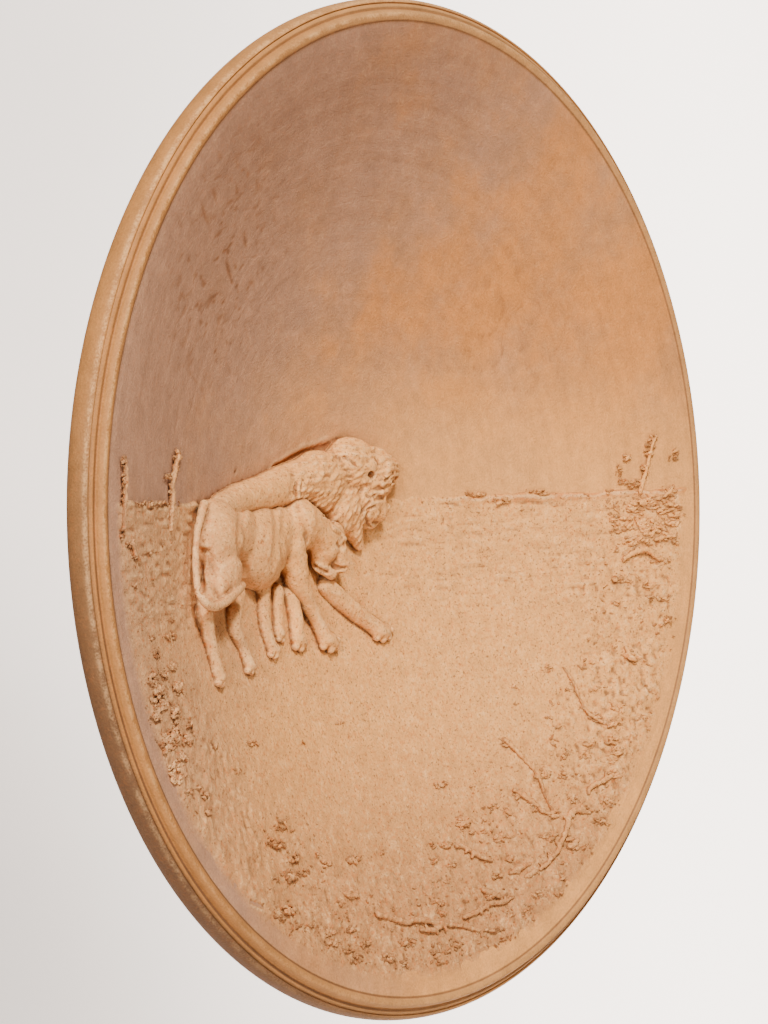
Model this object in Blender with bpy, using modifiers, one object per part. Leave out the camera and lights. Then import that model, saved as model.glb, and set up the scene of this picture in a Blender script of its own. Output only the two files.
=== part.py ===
"""Terracotta wall bowl with a lion and a lioness walking across its inside in high relief.

The bowl is turned about its axis. It hangs upright: +Z is up, the hollow faces -Y, and the origin is
on the flat back of the foot ring, at the ring's top, where the bowl meets the wall.
"""

import math
import random

import bmesh
import bpy
from mathutils import Matrix, Vector

MM = 0.001

# Turned body
OUTER_RADIUS = 210 * MM
LIP_WIDTH = 10 * MM
LIP_HEIGHT = 14 * MM
BOWL_DEPTH = 54 * MM
HOLLOW_POWER = 1.3
WALL = 11 * MM
TURN_STEPS = 72
HOLLOW_RINGS = 10
WALL_RINGS = 6
WALL_STARTS_AT = 0.9

# Foot ring at the back
FOOT_RADIUS = 78 * MM
FOOT_WIDTH = 10 * MM
FOOT_HEIGHT = 6 * MM
FOOT_ROUNDING = 1.2 * MM

# Two cord holes, pierced along the radius through the foot ring
CORD_HOLE_RADIUS = 1.75 * MM
CORD_HOLE_ANGLE = math.radians(22)
CORD_HOLE_SIDES = 10

# Relief, drawn at this inner edge radius and enlarged or reduced with it, but kept clear of the edge
DRAWN_EDGE_RADIUS = 200 * MM
EDGE_CLEARANCE = 8 * MM
VOXEL = 1.3 * MM
SMOOTHING_ROUNDS = 3
RELIEF_SHARE_KEPT = 0.125
BOWL_SHARE_KEPT = 0.62
BALLS_PER_RADIUS = 1.7
SMALLEST_BALL = 2.6
BALL_LIFT = 0.2
BUSH_REACH = 0.88
MOUND_SINK = 1.6
MOUND_HALF_HEIGHT = 3.4

EDGE_RADIUS = OUTER_RADIUS - LIP_WIDTH
BACK_PLANE = BOWL_DEPTH + WALL + FOOT_HEIGHT
FOOT_MIDDLE = FOOT_RADIUS - FOOT_WIDTH / 2
RELIEF_SCALE = EDGE_RADIUS / DRAWN_EDGE_RADIUS

# Moulded lip, as shares of its width and height from the inner edge: bead, band, groove and roll
LIP_OUTLINE = [
    (0.0, 0.0), (0.1, 0.055), (0.3, 0.08), (0.42, -0.01), (0.47, -0.12), (0.60, -0.12), (0.70, -0.16),
    (0.75, -0.21), (0.80, -0.16), (0.93, -0.25), (1.0, -0.47), (0.97, -0.70), (0.84, -0.87),
    (0.62, -0.97), (0.0, -1.0),
]

# Each mass of a figure: place across, place up, lift off the hollow, then its half sizes along the
# figure, upwards and outwards, and its tilt in degrees, all in millimetres but the tilt
LIONESS_MASSES = {
    "haunch": (-102, -12, 2.5, 15.5, 16.5, 10.5, 0),
    "thigh": (-102.5, -24, 4, 11, 13.5, 9, 0),
    "barrel": (-66, -15, 1.5, 21.5, 18, 12, 0),
    "loin": (-86, -10, 1, 22, 14, 9.5, 0),
    "ribs": (-55, -10.5, 1, 20, 15, 10.5, 0),
    "shoulder": (-40, -9, 2, 14, 14, 11, -20),
    "cheek": (-17, -14.5, 5, 8.5, 9, 8.5, -35),
    "brow": (-12, -10.5, 6.5, 5.5, 6, 5.5, -40),
    "ear": (-19, -3.5, 6, 2.8, 3.2, 3.8, 0),
}
LION_MASSES = {
    "mane_back": (-17, 11.5, 2.5, 20, 13.5, 9.5, 0),
    "mane_top": (5, 18.5, 3.5, 16.5, 12.2, 9.5, -10),
    "mane_cheek": (-2, 2, 2.5, 11, 13, 9, -25),
    "skull": (17, 15, 5.5, 12, 12, 8.5, -35),
    "ear": (8, 19, 11, 3.2, 3.4, 3.2, 0),
    "forelock": (29, 17, 4, 5.5, 6, 5, 0),
}

# Each limb: its joints in order, as place across, place up, lift and radius in millimetres
LIONESS_LIMBS = {
    "neck": [(-38, -5, 5, 11), (-27, -8, 5.5, 9), (-19, -12, 6.5, 8)],
    "muzzle": [(-13, -15, 8, 5.6), (-9.5, -20.5, 8, 4.6), (-8.4, -23.8, 8, 3.9)],
    "jaw": [(-20, -23, 5, 3.4), (-13, -27, 6, 3.0)],
    "near_foreleg": [(-43, -15, 5, 8.5), (-37, -30, 5, 5.2), (-25, -44, 3.2, 3.6), (-20, -51.5, 2.5, 3.7)],
    "near_fore_paw": [(-18.5, -54, 2.2, 4.3), (-14, -55.5, 2.2, 4.0)],
    "far_foreleg": [(-60, -32, 0.5, 4.2), (-62, -46, 1.4, 3.5), (-59.5, -55, 1.4, 3.3), (-57, -57, 1.5, 3.3)],
    "near_hind_leg": [(-105, -26, 5, 7.5), (-118, -38.5, 3.5, 4.2), (-114, -53, 2.2, 3.5), (-110.5, -63, 1.6, 3.2)],
    "near_hind_paw": [(-109.3, -65, 1.6, 3.4), (-107, -65.8, 1.5, 3.1)],
    "far_hind_leg": [(-84, -34, 1.5, 4.9), (-90, -45.5, 2, 3.9), (-83.5, -55, 1.4, 3.2), (-80.8, -61, 1.5, 3.3)],
    "far_hind_paw": [(-80.5, -62.3, 1.5, 3.4), (-77.5, -62.6, 1.5, 3.1)],
    "tail": [
        (-113, 2, 3, 2.4), (-119, -5, 3, 2.4), (-122.5, -10, 4, 2.2), (-124.5, -17, 4, 2.1), (-127, -25, 5, 2.1),
        (-128.5, -31.5, 6.5, 2.2), (-125.5, -36.5, 8.5, 2.3), (-118, -37.5, 9.5, 2.4),
        (-109, -35.5, 10.5, 2.6), (-101, -32.5, 11, 2.7), (-94, -30, 11, 2.6),
    ],
}
LION_LIMBS = {
    "back": [(-97, 0, 1, 6.5), (-79, 3.2, 1, 7.5), (-60, 5.8, 1, 8.5), (-42, 9.2, 1.5, 9.5), (-26, 12, 2, 10.5)],
    "muzzle": [(15, 6.5, 6.5, 6.4), (18.5, 1.8, 6.5, 5.3), (20, -1.2, 6.5, 4.6)],
    "chin": [(14, -5, 4, 3.2), (17, -6.5, 4.5, 2.8)],
    "beard": [(2, -2, 3, 7.5), (7.5, -9, 2.5, 4.8), (12, -15.5, 2, 2.6)],
    "near_foreleg": [(-12, -32, 0.6, 4.6), (2, -41, 1.6, 4.4), (13, -47.5, 1.6, 3.8), (18, -50.5, 1.6, 3.8)],
    "near_fore_paw": [(19, -51.5, 1.6, 4.2), (23, -52.5, 1.5, 3.7)],
    "far_foreleg": [(-38, -34, 0, 5.2), (-37, -46, 1.2, 4.2), (-38, -53, 1.5, 4.0), (-35, -54.5, 1.5, 3.6)],
    "hind_leg": [(-48, -34, 0, 4.2), (-50, -45, 0.8, 3.4), (-51.2, -50, 1.0, 3.3), (-49.2, -51, 1.0, 2.9)],
}

# Bushes and saplings: place across, place up, half spread across, half spread up, ball radius and count
BUSHES = {
    "right_bush": (174, -2, 18, 19, 4.0, 30),
    "right_bush_foot": (178, -36, 9, 14, 2.6, 8),
    "left_bush": (-164, -70, 11, 25, 3.4, 26),
    "left_ground_tuft": (-170, -26, 12, 12, 2.4, 8),
    "lower_left_tuft": (-84, -136, 10, 12, 2.6, 10),
    "lower_middle_tuft": (-18, -162, 17, 9, 2.6, 8),
    "lower_edge_tuft": (17, -164, 17, 8, 2.6, 7),
    "lower_right_tuft": (52, -134, 15, 9, 2.8, 12),
    "branch_tuft": (122, -122, 20, 12, 2.6, 14),
    "twig_tuft": (138, -96, 14, 10, 2.2, 8),
}
BRANCHES = {
    "long_branch": [
        (119, -135, 1.5, 1.7), (108, -135.5, 1.5, 2.2), (103.5, -141, 1.5, 2.1), (95, -150, 1.5, 2.1),
        (82, -157, 1.2, 1.6),
    ],
    "fallen_branch": [
        (-29, -165, 1.6, 1.9), (-12, -170, 1.5, 2.2), (8, -172.5, 1.4, 2.2), (25, -175.5, 1.4, 2.1),
        (45, -179.5, 1.2, 1.5),
    ],
    "middle_branch": [(36, -143.5, 1.4, 1.7), (46, -147, 1.5, 2.2), (55, -151, 1.3, 1.7)],
    "dark_twig": [(64, -157, 1.2, 1.6), (70, -155.5, 1.4, 2.1), (80, -155, 1.1, 1.5)],
    "short_twig": [(82, -101, 1.0, 1.6), (90, -110, 1.2, 2.0), (96, -120, 1.0, 1.5)],
    "upper_twig": [(121, -127, 1.0, 1.5), (130, -122, 1.2, 2.0), (137, -119.5, 1.0, 1.4)],
    "right_sprout": [(164, 8, 2.0, 2.2), (166, 20, 2.0, 1.9), (170, 35, 1.6, 1.5)],
    "edge_sprout": [(184, 10, 1.8, 2.0), (183, 22, 1.6, 1.7), (186, 35, 1.4, 1.4)],
    "near_sapling": [(-144, -6, 1.2, 2.0), (-141, 4, 1.4, 2.3), (-143, 13, 1.4, 2.1), (-138, 22, 1.2, 2.8)],
    "edge_sapling": [(-187, -4, 1.0, 1.9), (-189, 5, 1.2, 2.0), (-186, 13, 1.2, 1.9), (-188, 21, 1.0, 2.4)],
}


def clear_scene():
    for old in list(bpy.data.objects):
        bpy.data.objects.remove(old, do_unlink=True)


def new_collection(name, hidden=False):
    collection = bpy.data.collections.new(name)
    collection.hide_render = hidden
    bpy.context.scene.collection.children.link(collection)
    return collection


def principled(name, colour, roughness):
    material = bpy.data.materials.new(name)
    material.use_nodes = True
    shader = material.node_tree.nodes["Principled BSDF"]
    shader.inputs["Base Color"].default_value = (*colour, 1.0)
    shader.inputs["Roughness"].default_value = roughness
    shader.inputs["Metallic"].default_value = 0.0
    return material


def hang(obj):
    """Turns an object from the bowl's own frame, axis along +Z, to the way it hangs."""
    obj.location = (0, -BACK_PLANE, -FOOT_MIDDLE)
    obj.rotation_euler = (math.pi / 2, 0, 0)


def hollow_depth(radius):
    """How far the hollow lies below its inner edge, at this distance from the axis."""
    share = min(radius / EDGE_RADIUS, 1.0)
    return BOWL_DEPTH * (1 - share**2) ** HOLLOW_POWER


def hollow_slope(radius):
    """How steeply the hollow climbs towards its edge."""
    share = min(radius / EDGE_RADIUS, 0.999)
    rate = 2 * HOLLOW_POWER * share * (1 - share**2) ** (HOLLOW_POWER - 1)
    return BOWL_DEPTH * rate / EDGE_RADIUS


def outer_wall_point(radius):
    """The point on the outside that is one wall thickness from the hollow."""
    slope = hollow_slope(radius)
    length = math.hypot(1, slope)
    return radius + WALL * slope / length, -hollow_depth(radius) - WALL / length


def bowl_outline():
    """Half section of the bowl, from the foot's middle round the lip to the middle of the hollow."""
    foot_inside = FOOT_RADIUS - FOOT_WIDTH
    recess = -BOWL_DEPTH - WALL
    points = []
    for ring in range(HOLLOW_RINGS):
        radius = EDGE_RADIUS * ring / HOLLOW_RINGS
        points.append((radius, -hollow_depth(radius)))
    for across, up in LIP_OUTLINE:
        points.append((EDGE_RADIUS + across * LIP_WIDTH, up * LIP_HEIGHT))
    foot_start = FOOT_RADIUS / (EDGE_RADIUS * WALL_STARTS_AT)
    for ring in range(WALL_RINGS):
        share = 1 - (1 - foot_start) * ring / WALL_RINGS
        points.append(outer_wall_point(EDGE_RADIUS * WALL_STARTS_AT * share))
    points += [
        (FOOT_RADIUS, outer_wall_point(FOOT_RADIUS)[1]),
        (FOOT_RADIUS, -BACK_PLANE + FOOT_ROUNDING),
        (FOOT_RADIUS - FOOT_ROUNDING, -BACK_PLANE),
        (foot_inside + FOOT_ROUNDING, -BACK_PLANE),
        (foot_inside, -BACK_PLANE + FOOT_ROUNDING),
        (foot_inside - FOOT_ROUNDING, recess),
        (0.0, recess),
    ]
    return points


def turned(name, outline, collection):
    """A closed solid turned from a half section that begins and ends on the axis."""
    mesh = bpy.data.meshes.new(name)
    edges = [(index, index + 1) for index in range(len(outline) - 1)]
    mesh.from_pydata([(radius, 0.0, height) for radius, height in outline], edges, [])
    obj = bpy.data.objects.new(name, mesh)
    collection.objects.link(obj)
    screw = obj.modifiers.new("Turned", "SCREW")
    screw.axis = "Z"
    screw.steps = TURN_STEPS
    screw.render_steps = TURN_STEPS
    screw.use_merge_vertices = True
    screw.merge_threshold = 0.00001
    screw.use_smooth_shade = True
    hang(obj)
    return obj


def add_boolean(obj, other, operation):
    boolean = obj.modifiers.new(other.name, "BOOLEAN")
    boolean.operation = operation
    boolean.solver = "EXACT"
    boolean.object = other


def guide(obj):
    obj.hide_render = True
    obj.display_type = "WIRE"
    return obj


def move_to(obj, collection):
    for old in list(obj.users_collection):
        old.objects.unlink(obj)
    collection.objects.link(obj)


def inside_edge(across, up):
    """Where a place given in drawn millimetres comes in the bowl's own frame, inside its edge."""
    x = across * MM * RELIEF_SCALE
    y = up * MM * RELIEF_SCALE
    limit = EDGE_RADIUS - EDGE_CLEARANCE
    share = limit / max(limit, math.hypot(x, y))
    return x * share, y * share


def in_hollow(across, up, lift):
    """A relief point, given in drawn millimetres, in the bowl's own frame."""
    x, y = inside_edge(across, up)
    return Vector((x, y, lift * MM * RELIEF_SCALE - hollow_depth(math.hypot(x, y))))


def lie_on_hollow(across, up):
    """A rotation that lays a flat form along the hollow at this place."""
    x, y = inside_edge(across, up)
    radius = math.hypot(x, y)
    if radius == 0:
        return Matrix.Identity(4)
    return Matrix.Rotation(-math.atan(hollow_slope(radius)), 4, Vector((-y, x, 0)) / radius)


def add_ball(bm, centre, radius):
    bmesh.ops.create_icosphere(bm, subdivisions=2, radius=radius, matrix=Matrix.Translation(centre))


def add_mass(bm, across, up, lift, along, tall, deep, tilt):
    """An egg-shaped mass that lies along the hollow and is turned in its plane by the tilt."""
    place = Matrix.Translation(in_hollow(across, up, lift)) @ lie_on_hollow(across, up)
    place = place @ Matrix.Rotation(math.radians(tilt), 4, "Z")
    halves = [size * MM * RELIEF_SCALE for size in (along, tall, deep)]
    place = place @ Matrix.Diagonal((*halves, 1.0))
    bmesh.ops.create_uvsphere(bm, u_segments=24, v_segments=14, radius=1.0, matrix=place)


def between(points, index, share):
    """A point on the smooth curve through the joints, by the Catmull-Rom formula."""
    last = len(points) - 1
    four = [points[max(0, min(last, index + step))] for step in (-1, 0, 1, 2)]
    result = []
    for before, start, end, after in zip(*four):
        slope_in = (end - before) / 2
        slope_out = (after - start) / 2
        bend = 3 * (end - start) - 2 * slope_in - slope_out
        rest = slope_in + slope_out - 2 * (end - start)
        result.append(start + slope_in * share + bend * share**2 + rest * share**3)
    return result


def add_limb(bm, joints):
    """A tapering limb made of balls set close together along the curve through its joints."""
    for index in range(len(joints) - 1):
        span = math.dist(joints[index][:3], joints[index + 1][:3])
        thin = min(joints[index][3], joints[index + 1][3])
        steps = max(2, math.ceil(BALLS_PER_RADIUS * span / thin))
        for step in range(steps + (index == len(joints) - 2)):
            across, up, lift, radius = between(joints, index, step / steps)
            add_ball(bm, in_hollow(across, up, lift), radius * MM * RELIEF_SCALE)


def add_bush(bm, rng, across, up, half_across, half_up, radius, count):
    """A bush of small balls of clay pressed on to a low mound, thickest in its middle."""
    add_mass(bm, across, up, -MOUND_SINK, half_across, half_up, MOUND_HALF_HEIGHT, 0)
    for _ in range(round(count)):
        angle = rng.uniform(0, 2 * math.pi)
        reach = BUSH_REACH * math.sqrt(rng.random())
        x = across + half_across * reach * math.cos(angle)
        y = up + half_up * reach * math.sin(angle)
        size = max(SMALLEST_BALL, radius * rng.uniform(0.7, 1.15) * (1.15 - 0.4 * reach))
        add_ball(bm, in_hollow(x, y, size * BALL_LIFT), size * MM * RELIEF_SCALE)


def relief(collection):
    """Both animals and the plants, fused into one skin and thinned to few triangles."""
    bm = bmesh.new()
    for masses in (LIONESS_MASSES, LION_MASSES):
        for sizes in masses.values():
            add_mass(bm, *sizes)
    for limbs in (LIONESS_LIMBS, LION_LIMBS, BRANCHES):
        for joints in limbs.values():
            add_limb(bm, joints)
    rng = random.Random(7)
    for sizes in BUSHES.values():
        add_bush(bm, rng, *sizes)
    mesh = bpy.data.meshes.new("relief")
    bm.to_mesh(mesh)
    bm.free()
    obj = guide(bpy.data.objects.new("relief", mesh))
    collection.objects.link(obj)
    fuse = obj.modifiers.new("Fused", "REMESH")
    fuse.mode = "VOXEL"
    fuse.voxel_size = VOXEL * RELIEF_SCALE
    smooth = obj.modifiers.new("Smoothed", "SMOOTH")
    smooth.iterations = SMOOTHING_ROUNDS
    thin = obj.modifiers.new("Thinned", "DECIMATE")
    thin.ratio = RELIEF_SHARE_KEPT
    obj.modifiers.new("Triangles", "TRIANGULATE")
    hang(obj)
    return obj


def cord_hole(side, collection):
    """A cutter for one cord hole, along a radius through the foot ring."""
    length = 3 * FOOT_WIDTH
    bpy.ops.mesh.primitive_cylinder_add(
        vertices=CORD_HOLE_SIDES, radius=CORD_HOLE_RADIUS, depth=length
    )
    cutter = guide(bpy.context.object)
    cutter.rotation_euler = (0, side * CORD_HOLE_ANGLE, 0)
    cutter.name = "cord_hole_right" if side > 0 else "cord_hole_left"
    cutter.location = (
        FOOT_MIDDLE * math.sin(side * CORD_HOLE_ANGLE),
        -FOOT_HEIGHT / 2,
        FOOT_MIDDLE * (math.cos(CORD_HOLE_ANGLE) - 1),
    )
    move_to(cutter, collection)
    return cutter


def build():
    clear_scene()
    parts = new_collection("wall_bowl")
    helpers = new_collection("wall_bowl_helpers", hidden=True)
    bowl = turned("relief_bowl", bowl_outline(), parts)
    bowl.modifiers.new("Triangles", "TRIANGULATE")
    for side in (-1, 1):
        add_boolean(bowl, cord_hole(side, helpers), "DIFFERENCE")
    add_boolean(bowl, relief(helpers), "UNION")
    thin = bowl.modifiers.new("Thinned", "DECIMATE")
    thin.ratio = BOWL_SHARE_KEPT
    bowl.data.materials.append(principled("terracotta", (0.60, 0.36, 0.21), 0.85))


if __name__ == "__main__":
    build()
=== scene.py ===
"""Terracotta wall bowl with a lion and a lioness in high relief: its modelled surface, finish and studio.

Sizes are in millimetres in the bowl's own directions: across to the right, up, and out of the hollow
towards the viewer, measured from the bowl's axis and from the plane of the inner edge.
"""

import math
import random

import bmesh
import bpy
import numpy as np
from mathutils import Matrix, Vector
from mathutils.bvhtree import BVHTree


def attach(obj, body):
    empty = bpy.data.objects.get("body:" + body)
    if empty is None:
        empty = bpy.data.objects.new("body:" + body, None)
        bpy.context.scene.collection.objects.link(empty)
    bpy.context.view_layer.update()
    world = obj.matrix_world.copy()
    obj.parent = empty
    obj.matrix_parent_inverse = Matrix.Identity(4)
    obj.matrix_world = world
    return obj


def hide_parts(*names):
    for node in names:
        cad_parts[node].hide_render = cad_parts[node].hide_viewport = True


bl_info = {
    "name": "Terracotta wall bowl",
    "version": (1, 0, 0),
    "blender": (4, 5, 0),
    "location": "3D View > Sidebar > Wall bowl",
    "description": "Models the clay, the figures, the plants and the finish of a terracotta wall bowl",
    "category": "Add Mesh",
}

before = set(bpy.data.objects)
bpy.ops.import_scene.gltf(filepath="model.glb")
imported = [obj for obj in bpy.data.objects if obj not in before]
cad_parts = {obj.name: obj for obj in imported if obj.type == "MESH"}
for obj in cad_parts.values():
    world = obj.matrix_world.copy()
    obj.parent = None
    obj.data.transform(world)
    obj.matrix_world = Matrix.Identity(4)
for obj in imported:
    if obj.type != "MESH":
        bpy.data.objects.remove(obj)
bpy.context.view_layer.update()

MM = 0.001

# Turned body
OUTER_RADIUS = 210.0
EDGE_RADIUS = 200.0
LIP_WIDTH = 10.0
LIP_HEIGHT = 14.0
BOWL_DEPTH = 54.0
HOLLOW_POWER = 1.3
WALL = 11.0
FOOT_RADIUS = 78.0
FOOT_WIDTH = 10.0
FOOT_HEIGHT = 6.0
FOOT_ROUNDING = 1.2
BACK_PLANE = BOWL_DEPTH + WALL + FOOT_HEIGHT
FOOT_MIDDLE = FOOT_RADIUS - FOOT_WIDTH / 2
CORD_HOLE_RADIUS = 1.75
CORD_HOLE_ANGLE = math.radians(22)
LIP_CREST = 1.1
TURN_STEPS = 360
HOLLOW_RING_GAP = 1.5

# Moulded lip, as shares of its width and height from the inner edge: bead, band, groove and roll
LIP_OUTLINE = [
    (0.0, 0.0), (0.1, 0.055), (0.3, 0.08), (0.42, -0.01), (0.47, -0.12), (0.60, -0.12), (0.70, -0.16),
    (0.75, -0.21), (0.80, -0.16), (0.93, -0.25), (1.0, -0.47), (0.97, -0.70), (0.84, -0.87),
    (0.62, -0.97), (0.0, -1.0),
]

# Where the camera stood, in the bowl's own directions
EYE = np.array([-995.106, -4.092, 738.495])
EYE_RIGHT = np.array([0.610414, -0.003038, 0.792077])
EYE_UP = np.array([0.0, 0.999993, 0.003835])
EYE_BACK = np.array([-0.792082, -0.002341, 0.610410])
FOCAL_PIXELS = 3000.0
PICTURE_MIDDLE = (384.0, 512.0)
LENS = 105.469

# The figures' strokes are drawn on an enlargement of the picture: its scale and its upper left corner
DRAWING_SCALE = 5.227
DRAWING_CORNER = (160.0, 400.0)

# Each mass of a figure: place across, place up, lift off the hollow, then its half sizes along the
# figure, upwards and outwards, and its tilt in degrees
LIONESS_MASSES = {
    "haunch": (-102, -12, 2.5, 15.5, 16.5, 10.5, 0),
    "thigh": (-102.5, -24, 4, 11, 13.5, 9, 0),
    "barrel": (-66, -15, 1.5, 21.5, 18, 12, 0),
    "loin": (-86, -10, 1, 22, 14, 9.5, 0),
    "ribs": (-55, -10.5, 1, 20, 15, 10.5, 0),
    "shoulder": (-40, -9, 2, 14, 14, 11, -20),
    "cheek": (-17, -14.5, 5, 8.5, 9, 8.5, -35),
    "brow": (-12, -10.5, 6.5, 5.5, 6, 5.5, -40),
}
LION_MASSES = {
    "mane_back": (-17, 11.5, 2.5, 20, 13.5, 9.5, 0),
    "mane_top": (5, 18.5, 3.5, 16.5, 12.2, 9.5, -10),
    "mane_cheek": (-2, 2, 2.5, 11, 13, 9, -25),
    "skull": (17, 15, 5.5, 12, 12, 8.5, -35),
    "forelock": (29, 17, 4, 5.5, 6, 5, 0),
    "face": (11, 3.5, 5.5, 9, 10, 7.6, -35),
}

# Each limb: its joints in order, as place across, place up, lift and radius
LIONESS_LIMBS = {
    "neck": [(-38, -5, 5, 11), (-27, -8, 5.5, 9), (-19, -12, 6.5, 8)],
    "muzzle": [(-13, -15, 8, 5.6), (-9.5, -20.5, 8, 4.5), (-8.4, -23.8, 8, 3.6)],
    "jaw": [(-20, -23, 5, 3.4), (-13, -27, 6, 3.0)],
    "near_foreleg": [
        (-43, -15, 5, 8.5), (-37, -30, 5, 5.2), (-24.8, -44, 3.2, 3.6), (-19.8, -51.5, 2.5, 3.7),
    ],
    "near_fore_paw": [(-18, -54, 2.2, 4.3), (-14, -55.5, 2.2, 4.0)],
    "far_foreleg": [
        (-60, -32, 0.5, 4.3), (-62, -46, 1.4, 3.4), (-59.5, -55, 1.4, 3.0), (-57, -57, 1.5, 3.1),
    ],
    "near_hind_leg": [
        (-105, -26, 5, 7.5), (-118, -38.5, 3.5, 4.0), (-114, -53, 2.2, 3.4), (-110.5, -63, 1.6, 3.0),
    ],
    "near_hind_paw": [(-109.3, -65, 1.6, 3.2), (-107, -65.8, 1.5, 2.8)],
    "far_hind_leg": [
        (-84, -34, 1.5, 4.8), (-90, -45.5, 2, 3.7), (-83.5, -55, 1.4, 2.9), (-80.8, -61, 1.5, 3.0),
    ],
    "far_hind_paw": [(-80.5, -62.3, 1.5, 3.2), (-77.5, -62.6, 1.5, 2.8)],
}
LIONESS_TAIL = [
    (-113, 2, 3, 1.8), (-119, -5, 3.6, 1.7), (-122.5, -10, 4, 1.5), (-124.5, -17, 4, 1.4),
    (-127, -25, 5, 1.5), (-128.5, -31.5, 6.5, 1.6), (-125.5, -36.5, 8.5, 1.8), (-118, -37.5, 9.5, 1.9),
    (-109, -35.5, 10.5, 2.1), (-101, -32.5, 11, 2.2), (-94, -30, 11, 1.8),
]
LION_LIMBS = {
    "back": [
        (-97, 0, 1, 6.5), (-79, 3.2, 1, 7.5), (-60, 5.8, 1, 8.5), (-42, 9.2, 1.5, 9.5),
        (-26, 12, 2, 10.5),
    ],
    "muzzle": [(15, 6.5, 6.5, 6.2), (18.5, 1.8, 6.5, 5.2), (20, -1.2, 6.5, 4.5)],
    "chin": [(12, -4, 4.5, 4.2), (17, -5.5, 5, 3.2)],
    "beard": [(2, -2, 3, 7.5), (7.5, -9, 2.5, 4.8), (12, -15.5, 2, 2.6)],
    "near_foreleg": [
        (-12, -32, 0.6, 4.8), (2, -41, 1.6, 4.6), (13, -47.5, 1.6, 4.0), (18, -50.5, 1.6, 4.0),
    ],
    "near_fore_paw": [(19, -51.5, 1.6, 4.3), (23, -52.5, 1.5, 3.8)],
    "far_foreleg": [
        (-38, -34, 0, 5.0), (-37, -46, 1.2, 4.0), (-38, -53, 1.5, 3.7), (-35, -54.5, 1.5, 3.4),
    ],
    "hind_leg": [
        (-48, -34, 0, 4.0), (-50, -45, 0.8, 3.3), (-51.2, -50, 1.0, 3.2), (-49.2, -51, 1.0, 2.9),
    ],
}

# Toes and other small rounds: place across, place up, lift and radius
LIONESS_ROUNDS = {
    "near_fore_toes": [
        (-19.5, -57, 2.4, 2.1), (-15, -58.2, 2.6, 2.1), (-11.3, -57.4, 2.6, 2.0), (-9.3, -55, 2.2, 1.7),
    ],
    "far_fore_toes": [(-60, -58.6, 1.7, 1.7), (-57, -59.3, 1.7, 1.7), (-54.6, -57.6, 1.6, 1.5)],
    "far_hind_toes": [(-82, -64.2, 1.7, 1.7), (-79.2, -64.8, 1.7, 1.7), (-76, -63.4, 1.6, 1.5)],
    "near_hind_toes": [(-110.5, -67.4, 1.7, 1.7), (-107.8, -67.9, 1.7, 1.7), (-105.2, -66.6, 1.6, 1.5)],
    "nose_tip": [(-7.6, -22.6, 10.2, 1.9)],
    "eye": [(-12.6, -14.2, 11.2, 1.3)],
}
LION_ROUNDS = {
    "near_fore_toes": [
        (18.0, -54.6, 1.8, 2.0), (21.8, -55.2, 1.9, 2.0), (25.4, -54.4, 1.8, 1.9),
        (27.8, -52, 1.6, 1.6),
    ],
    "far_fore_toes": [(-39.5, -56.4, 1.8, 1.9), (-35.8, -57.2, 1.8, 1.9), (-32.5, -55.8, 1.7, 1.7)],
    "hind_toes": [(-51.8, -52.8, 1.4, 1.6), (-48.8, -53.2, 1.4, 1.5)],
    "nose_tip": [(22.6, 0.9, 8.6, 2.0)],
    "eye": [(14.8, 7.0, 12.2, 1.4)],
    "forehead": [(20.5, 9.5, 8.5, 3.6)],
    "cheek_pad": [(13.5, -1.5, 9.0, 3.0)],
}

# Strokes pressed into a figure (depth below zero) or raised on it: half width, depth, then points on
# the enlargement
LIONESS_STROKES = {
    "hip_hollow": (2.4, -1.2, [(224, 790), (214, 850), (212, 930), (222, 1000)]),
    "thigh_rear_edge": (3.4, -1.3, [(248, 800), (268, 880), (288, 950), (302, 1000)]),
    "rear_rib_fold": (4.2, -1.1, [(432, 560), (418, 680), (420, 800), (440, 900)]),
    "front_rib_fold": (4.0, -0.8, [(590, 545), (610, 640), (612, 740), (592, 860)]),
    "shoulder_fold": (3.6, -0.6, [(655, 600), (640, 740), (650, 860)]),
    "belly_edge": (3.2, -0.8, [(440, 890), (456, 950), (490, 990)]),
    "elbow_edge": (3.0, -0.8, [(640, 890), (622, 950), (600, 985)]),
    "shoulder_front": (2.6, -0.8, [(720, 560), (760, 650), (770, 760), (772, 840)]),
    "throat": (1.7, -1.6, [(775, 850), (830, 885), (878, 902)]),
    "ear_line": (1.0, -1.2, [(848, 602), (880, 616), (905, 640)]),
    "eye_socket": (2.2, -1.1, [(932, 748), (950, 768), (968, 752)]),
    "cheek_line": (2.4, -0.5, [(940, 800), (915, 840), (890, 856)]),
    "mouth": (1.5, -0.9, [(972, 880), (940, 880), (905, 868)]),
    "lower_lip": (1.2, -0.7, [(956, 906), (926, 918)]),
}
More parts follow.
